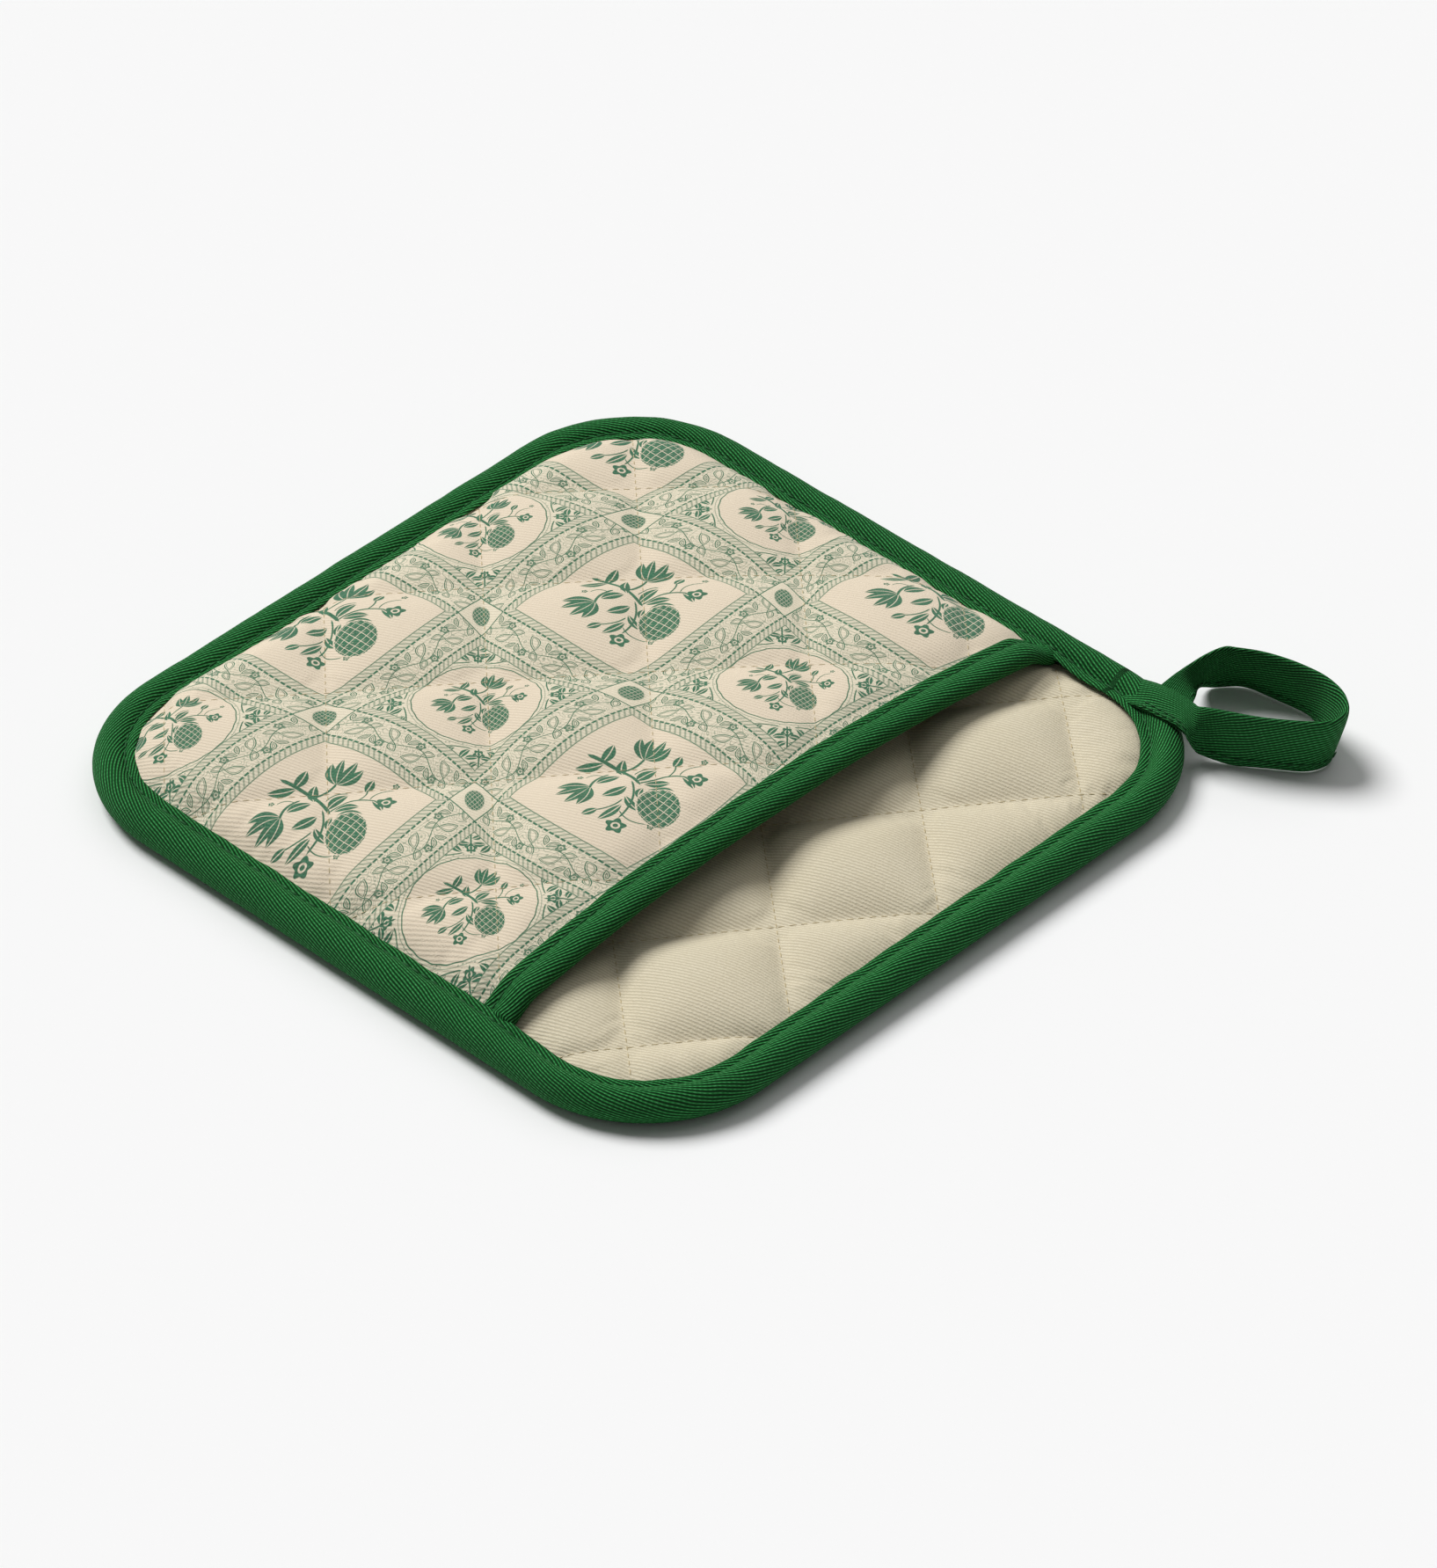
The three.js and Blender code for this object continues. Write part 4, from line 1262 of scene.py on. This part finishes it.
def make_camera():
    """A long lens that looks down at the holder from the loop's side."""
    a, e = math.radians(CAMERA["azimuth"]), math.radians(CAMERA["elevation"])
    back = Vector((math.sin(a) * math.cos(e), -math.cos(a) * math.cos(e), math.sin(e)))
    right = Vector((math.cos(a), math.sin(a), 0))
    up = back.cross(right)
    data = bpy.data.cameras.new("camera")
    data.lens, data.sensor_width = CAMERA["lens"], 36.0
    data.clip_start, data.clip_end = 0.1, 50
    camera = bpy.data.objects.new("camera", data)
    bpy.context.scene.collection.objects.link(camera)
    camera.location = (back * CAMERA["distance"] + right * CAMERA["right"] + up * CAMERA["up"]) * MM
    camera.rotation_mode = "QUATERNION"
    camera.rotation_quaternion = (-back).to_track_quat("-Z", "Y")
    bpy.context.scene.camera = camera


def make_light(name, place, spread, strength):
    """A far, wide softbox: even light from one direction, spread over that many degrees."""
    data = bpy.data.lights.new(name, "SUN")
    data.angle, data.energy = math.radians(spread), strength
    light = bpy.data.objects.new(name, data)
    light.location = place
    light.rotation_mode = "QUATERNION"
    light.rotation_quaternion = (-Vector(place)).to_track_quat("-Z", "Y")
    bpy.context.scene.collection.objects.link(light)


def make_stage():
    """The camera, the floor, an even sky and two softboxes."""
    make_camera()
    corners = ((-1, -1), (1, -1), (1, 1), (-1, 1))
    floor = mesh_object("floor", [(x * 4000, y * 4000, -0.1) for x, y in corners], [(0, 1, 2, 3)])
    floor.data.materials.append(material("floor"))
    world = bpy.data.worlds.new("studio")
    bpy.context.scene.world = world
    world.use_nodes = True
    sky = next(n for n in world.node_tree.nodes if n.type == "BACKGROUND")
    sky.inputs["Color"].default_value = linear("#ffffff")
    sky.inputs["Strength"].default_value = 0.13
    make_light("key_softbox", (0.0, 0.93, 1.25), 30, 2.88)
    make_light("fill_softbox", (0.9, 0.2, 1.5), 60, 0.5)
    bpy.context.scene.view_settings.view_transform = "Standard"


# ---- add-on ---------------------------------------------------------------------------------
def share_property(name, description, default):
    return bpy.props.FloatProperty(name=name, description=description, default=default, min=0.0, max=0.08,
                                   subtype="FACTOR")


def length_property(name, description, default, low, high):
    return bpy.props.FloatProperty(name=name, description=description, default=default * MM, min=low * MM,
                                   max=high * MM, unit="LENGTH", precision=4)


def colour_property(name, description, code):
    return bpy.props.FloatVectorProperty(name=name, description=description, default=linear(code), size=4,
                                         min=0.0, max=1.0, subtype="COLOR")


class PotHolderSizes(bpy.types.PropertyGroup):
    """Sizes and amounts that a user may change."""
    lining_spare: share_property("Lining spare", "Extra cloth taken up by the pad lining's quilting", 0.05)
    print_spare: share_property("Print spare", "Extra cloth taken up by the pocket's quilting", 0.04)
    back_spare: share_property("Back spare", "Extra cloth taken up by the back's quilting", 0.02)
    lining_puff: length_property("Lining puff", "How high the pad lining swells between its stitches",
                                 4.0, 0.0, 6.0)
    print_puff: length_property("Print puff", "How high the pocket's print swells between its stitches",
                                2.8, 0.0, 4.0)
    back_puff: length_property("Back puff", "How far the back swells between its stitches", 1.3, 0.0, 1.6)
    quilting_pitch: length_property("Quilting stitch pitch", "From one quilting stitch to the next",
                                    2.6, 1.5, 6.0)
    seam_pitch: length_property("Seam stitch pitch", "From one stitch to the next along the tapes",
                                3.0, 1.5, 6.0)


class PotHolderColours(bpy.types.PropertyGroup):
    """Colours that a user may change."""
    tape: colour_property("Tape", "The bias tape's ground colour", "#05561b")
    # The tape's paler tone, which is mixed into its ground in large, soft noise patches.
    tape_pale: colour_property("Tape, pale", "The bias tape in its paler soft patches", "#116e29")
    lining: colour_property("Lining", "The lining's ground colour", "#dacfb2")
    lining_pale: colour_property("Lining, pale", "The lining's paler cloud", "#e5dcc4")
    panel_ground: colour_property("Panel ground", "The print's ground in panels and medallions", "#e5d6bf")
    band_ground: colour_property("Band ground", "The print's ground in its bands and corners", "#e4dbc3")
    ink: colour_property("Ink", "The print's ink where it is thick", "#0a523a")
    ink_thin: colour_property("Ink, thin", "The print's ink where it is thin", "#1a7853")


class POTHOLDER_OT_stage(bpy.types.Operator):
    """Makes the camera, the floor and the lights"""
    bl_idname = "potholder.stage"
    bl_label = "Stage"

    def execute(self, context):
        make_stage()
        return {"FINISHED"}


class POTHOLDER_OT_pad(bpy.types.Operator):
    """Makes the pad's lining, printed back and quilting stitches"""
    bl_idname = "potholder.pad"
    bl_label = "Quilted pad"

    def execute(self, context):
        sizes = context.scene.pot_holder
        lining, back = make_pad_cloths(sizes)
        make_pad_quilting(sizes, lining, back)
        return {"FINISHED"}


class POTHOLDER_OT_pocket(bpy.types.Operator):
    """Makes the pocket's printed face, lining and quilting stitches"""
    bl_idname = "potholder.pocket"
    bl_label = "Quilted pocket"

    def execute(self, context):
        make_pocket_cloths(context.scene.pot_holder)
        return {"FINISHED"}


class POTHOLDER_OT_wadding(bpy.types.Operator):
    """Makes the wadding inside the pad and the pocket"""
    bl_idname = "potholder.wadding"
    bl_label = "Wadding"

    def execute(self, context):
        make_waddings()
        return {"FINISHED"}


class POTHOLDER_OT_bindings(bpy.types.Operator):
    """Makes the bias tape round the pad and along the pocket's mouth, with their stitches"""
    bl_idname = "potholder.bindings"
    bl_label = "Bindings"

    def execute(self, context):
        make_edge_binding(context.scene.pot_holder)
        make_mouth_binding(context.scene.pot_holder)
        return {"FINISHED"}


class POTHOLDER_OT_loop(bpy.types.Operator):
    """Makes the hanging loop, its stitches and its bar tack"""
    bl_idname = "potholder.loop"
    bl_label = "Hanging loop"

    def execute(self, context):
        make_loop(context.scene.pot_holder)
        return {"FINISHED"}


class POTHOLDER_PT_panel(bpy.types.Panel):
    """Lists the pot holder's pieces"""
    bl_label = "Pot holder"
    bl_idname = "POTHOLDER_PT_panel"
    bl_space_type = "VIEW_3D"
    bl_region_type = "UI"
    bl_category = "Pot holder"

    def draw(self, context):
        for group in (context.scene.pot_holder, context.scene.pot_holder_colours):
            for name in group.__annotations__:
                self.layout.prop(group, name)
        for operator in PIECES:
            self.layout.operator(operator.bl_idname)


PIECES = (POTHOLDER_OT_stage, POTHOLDER_OT_wadding, POTHOLDER_OT_pad, POTHOLDER_OT_pocket,
          POTHOLDER_OT_bindings, POTHOLDER_OT_loop)
CLASSES = (PotHolderSizes, PotHolderColours, *PIECES, POTHOLDER_PT_panel)


def register():
    """Adds the sizes, colours, operators and panel to Blender."""
    for cls in CLASSES:
        bpy.utils.register_class(cls)
    bpy.types.Scene.pot_holder = bpy.props.PointerProperty(type=PotHolderSizes)
    bpy.types.Scene.pot_holder_colours = bpy.props.PointerProperty(type=PotHolderColours)


def unregister():
    """Takes them out again."""
    del bpy.types.Scene.pot_holder, bpy.types.Scene.pot_holder_colours
    for cls in reversed(CLASSES):
        bpy.utils.unregister_class(cls)


def main():
    """Makes every piece and the stage."""
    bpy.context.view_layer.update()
    register()
    bpy.ops.potholder.stage()
    bpy.ops.potholder.wadding()
    bpy.ops.potholder.pad()
    bpy.ops.potholder.pocket()
    bpy.ops.potholder.bindings()
    bpy.ops.potholder.loop()


if __name__ == "__main__":
    main()
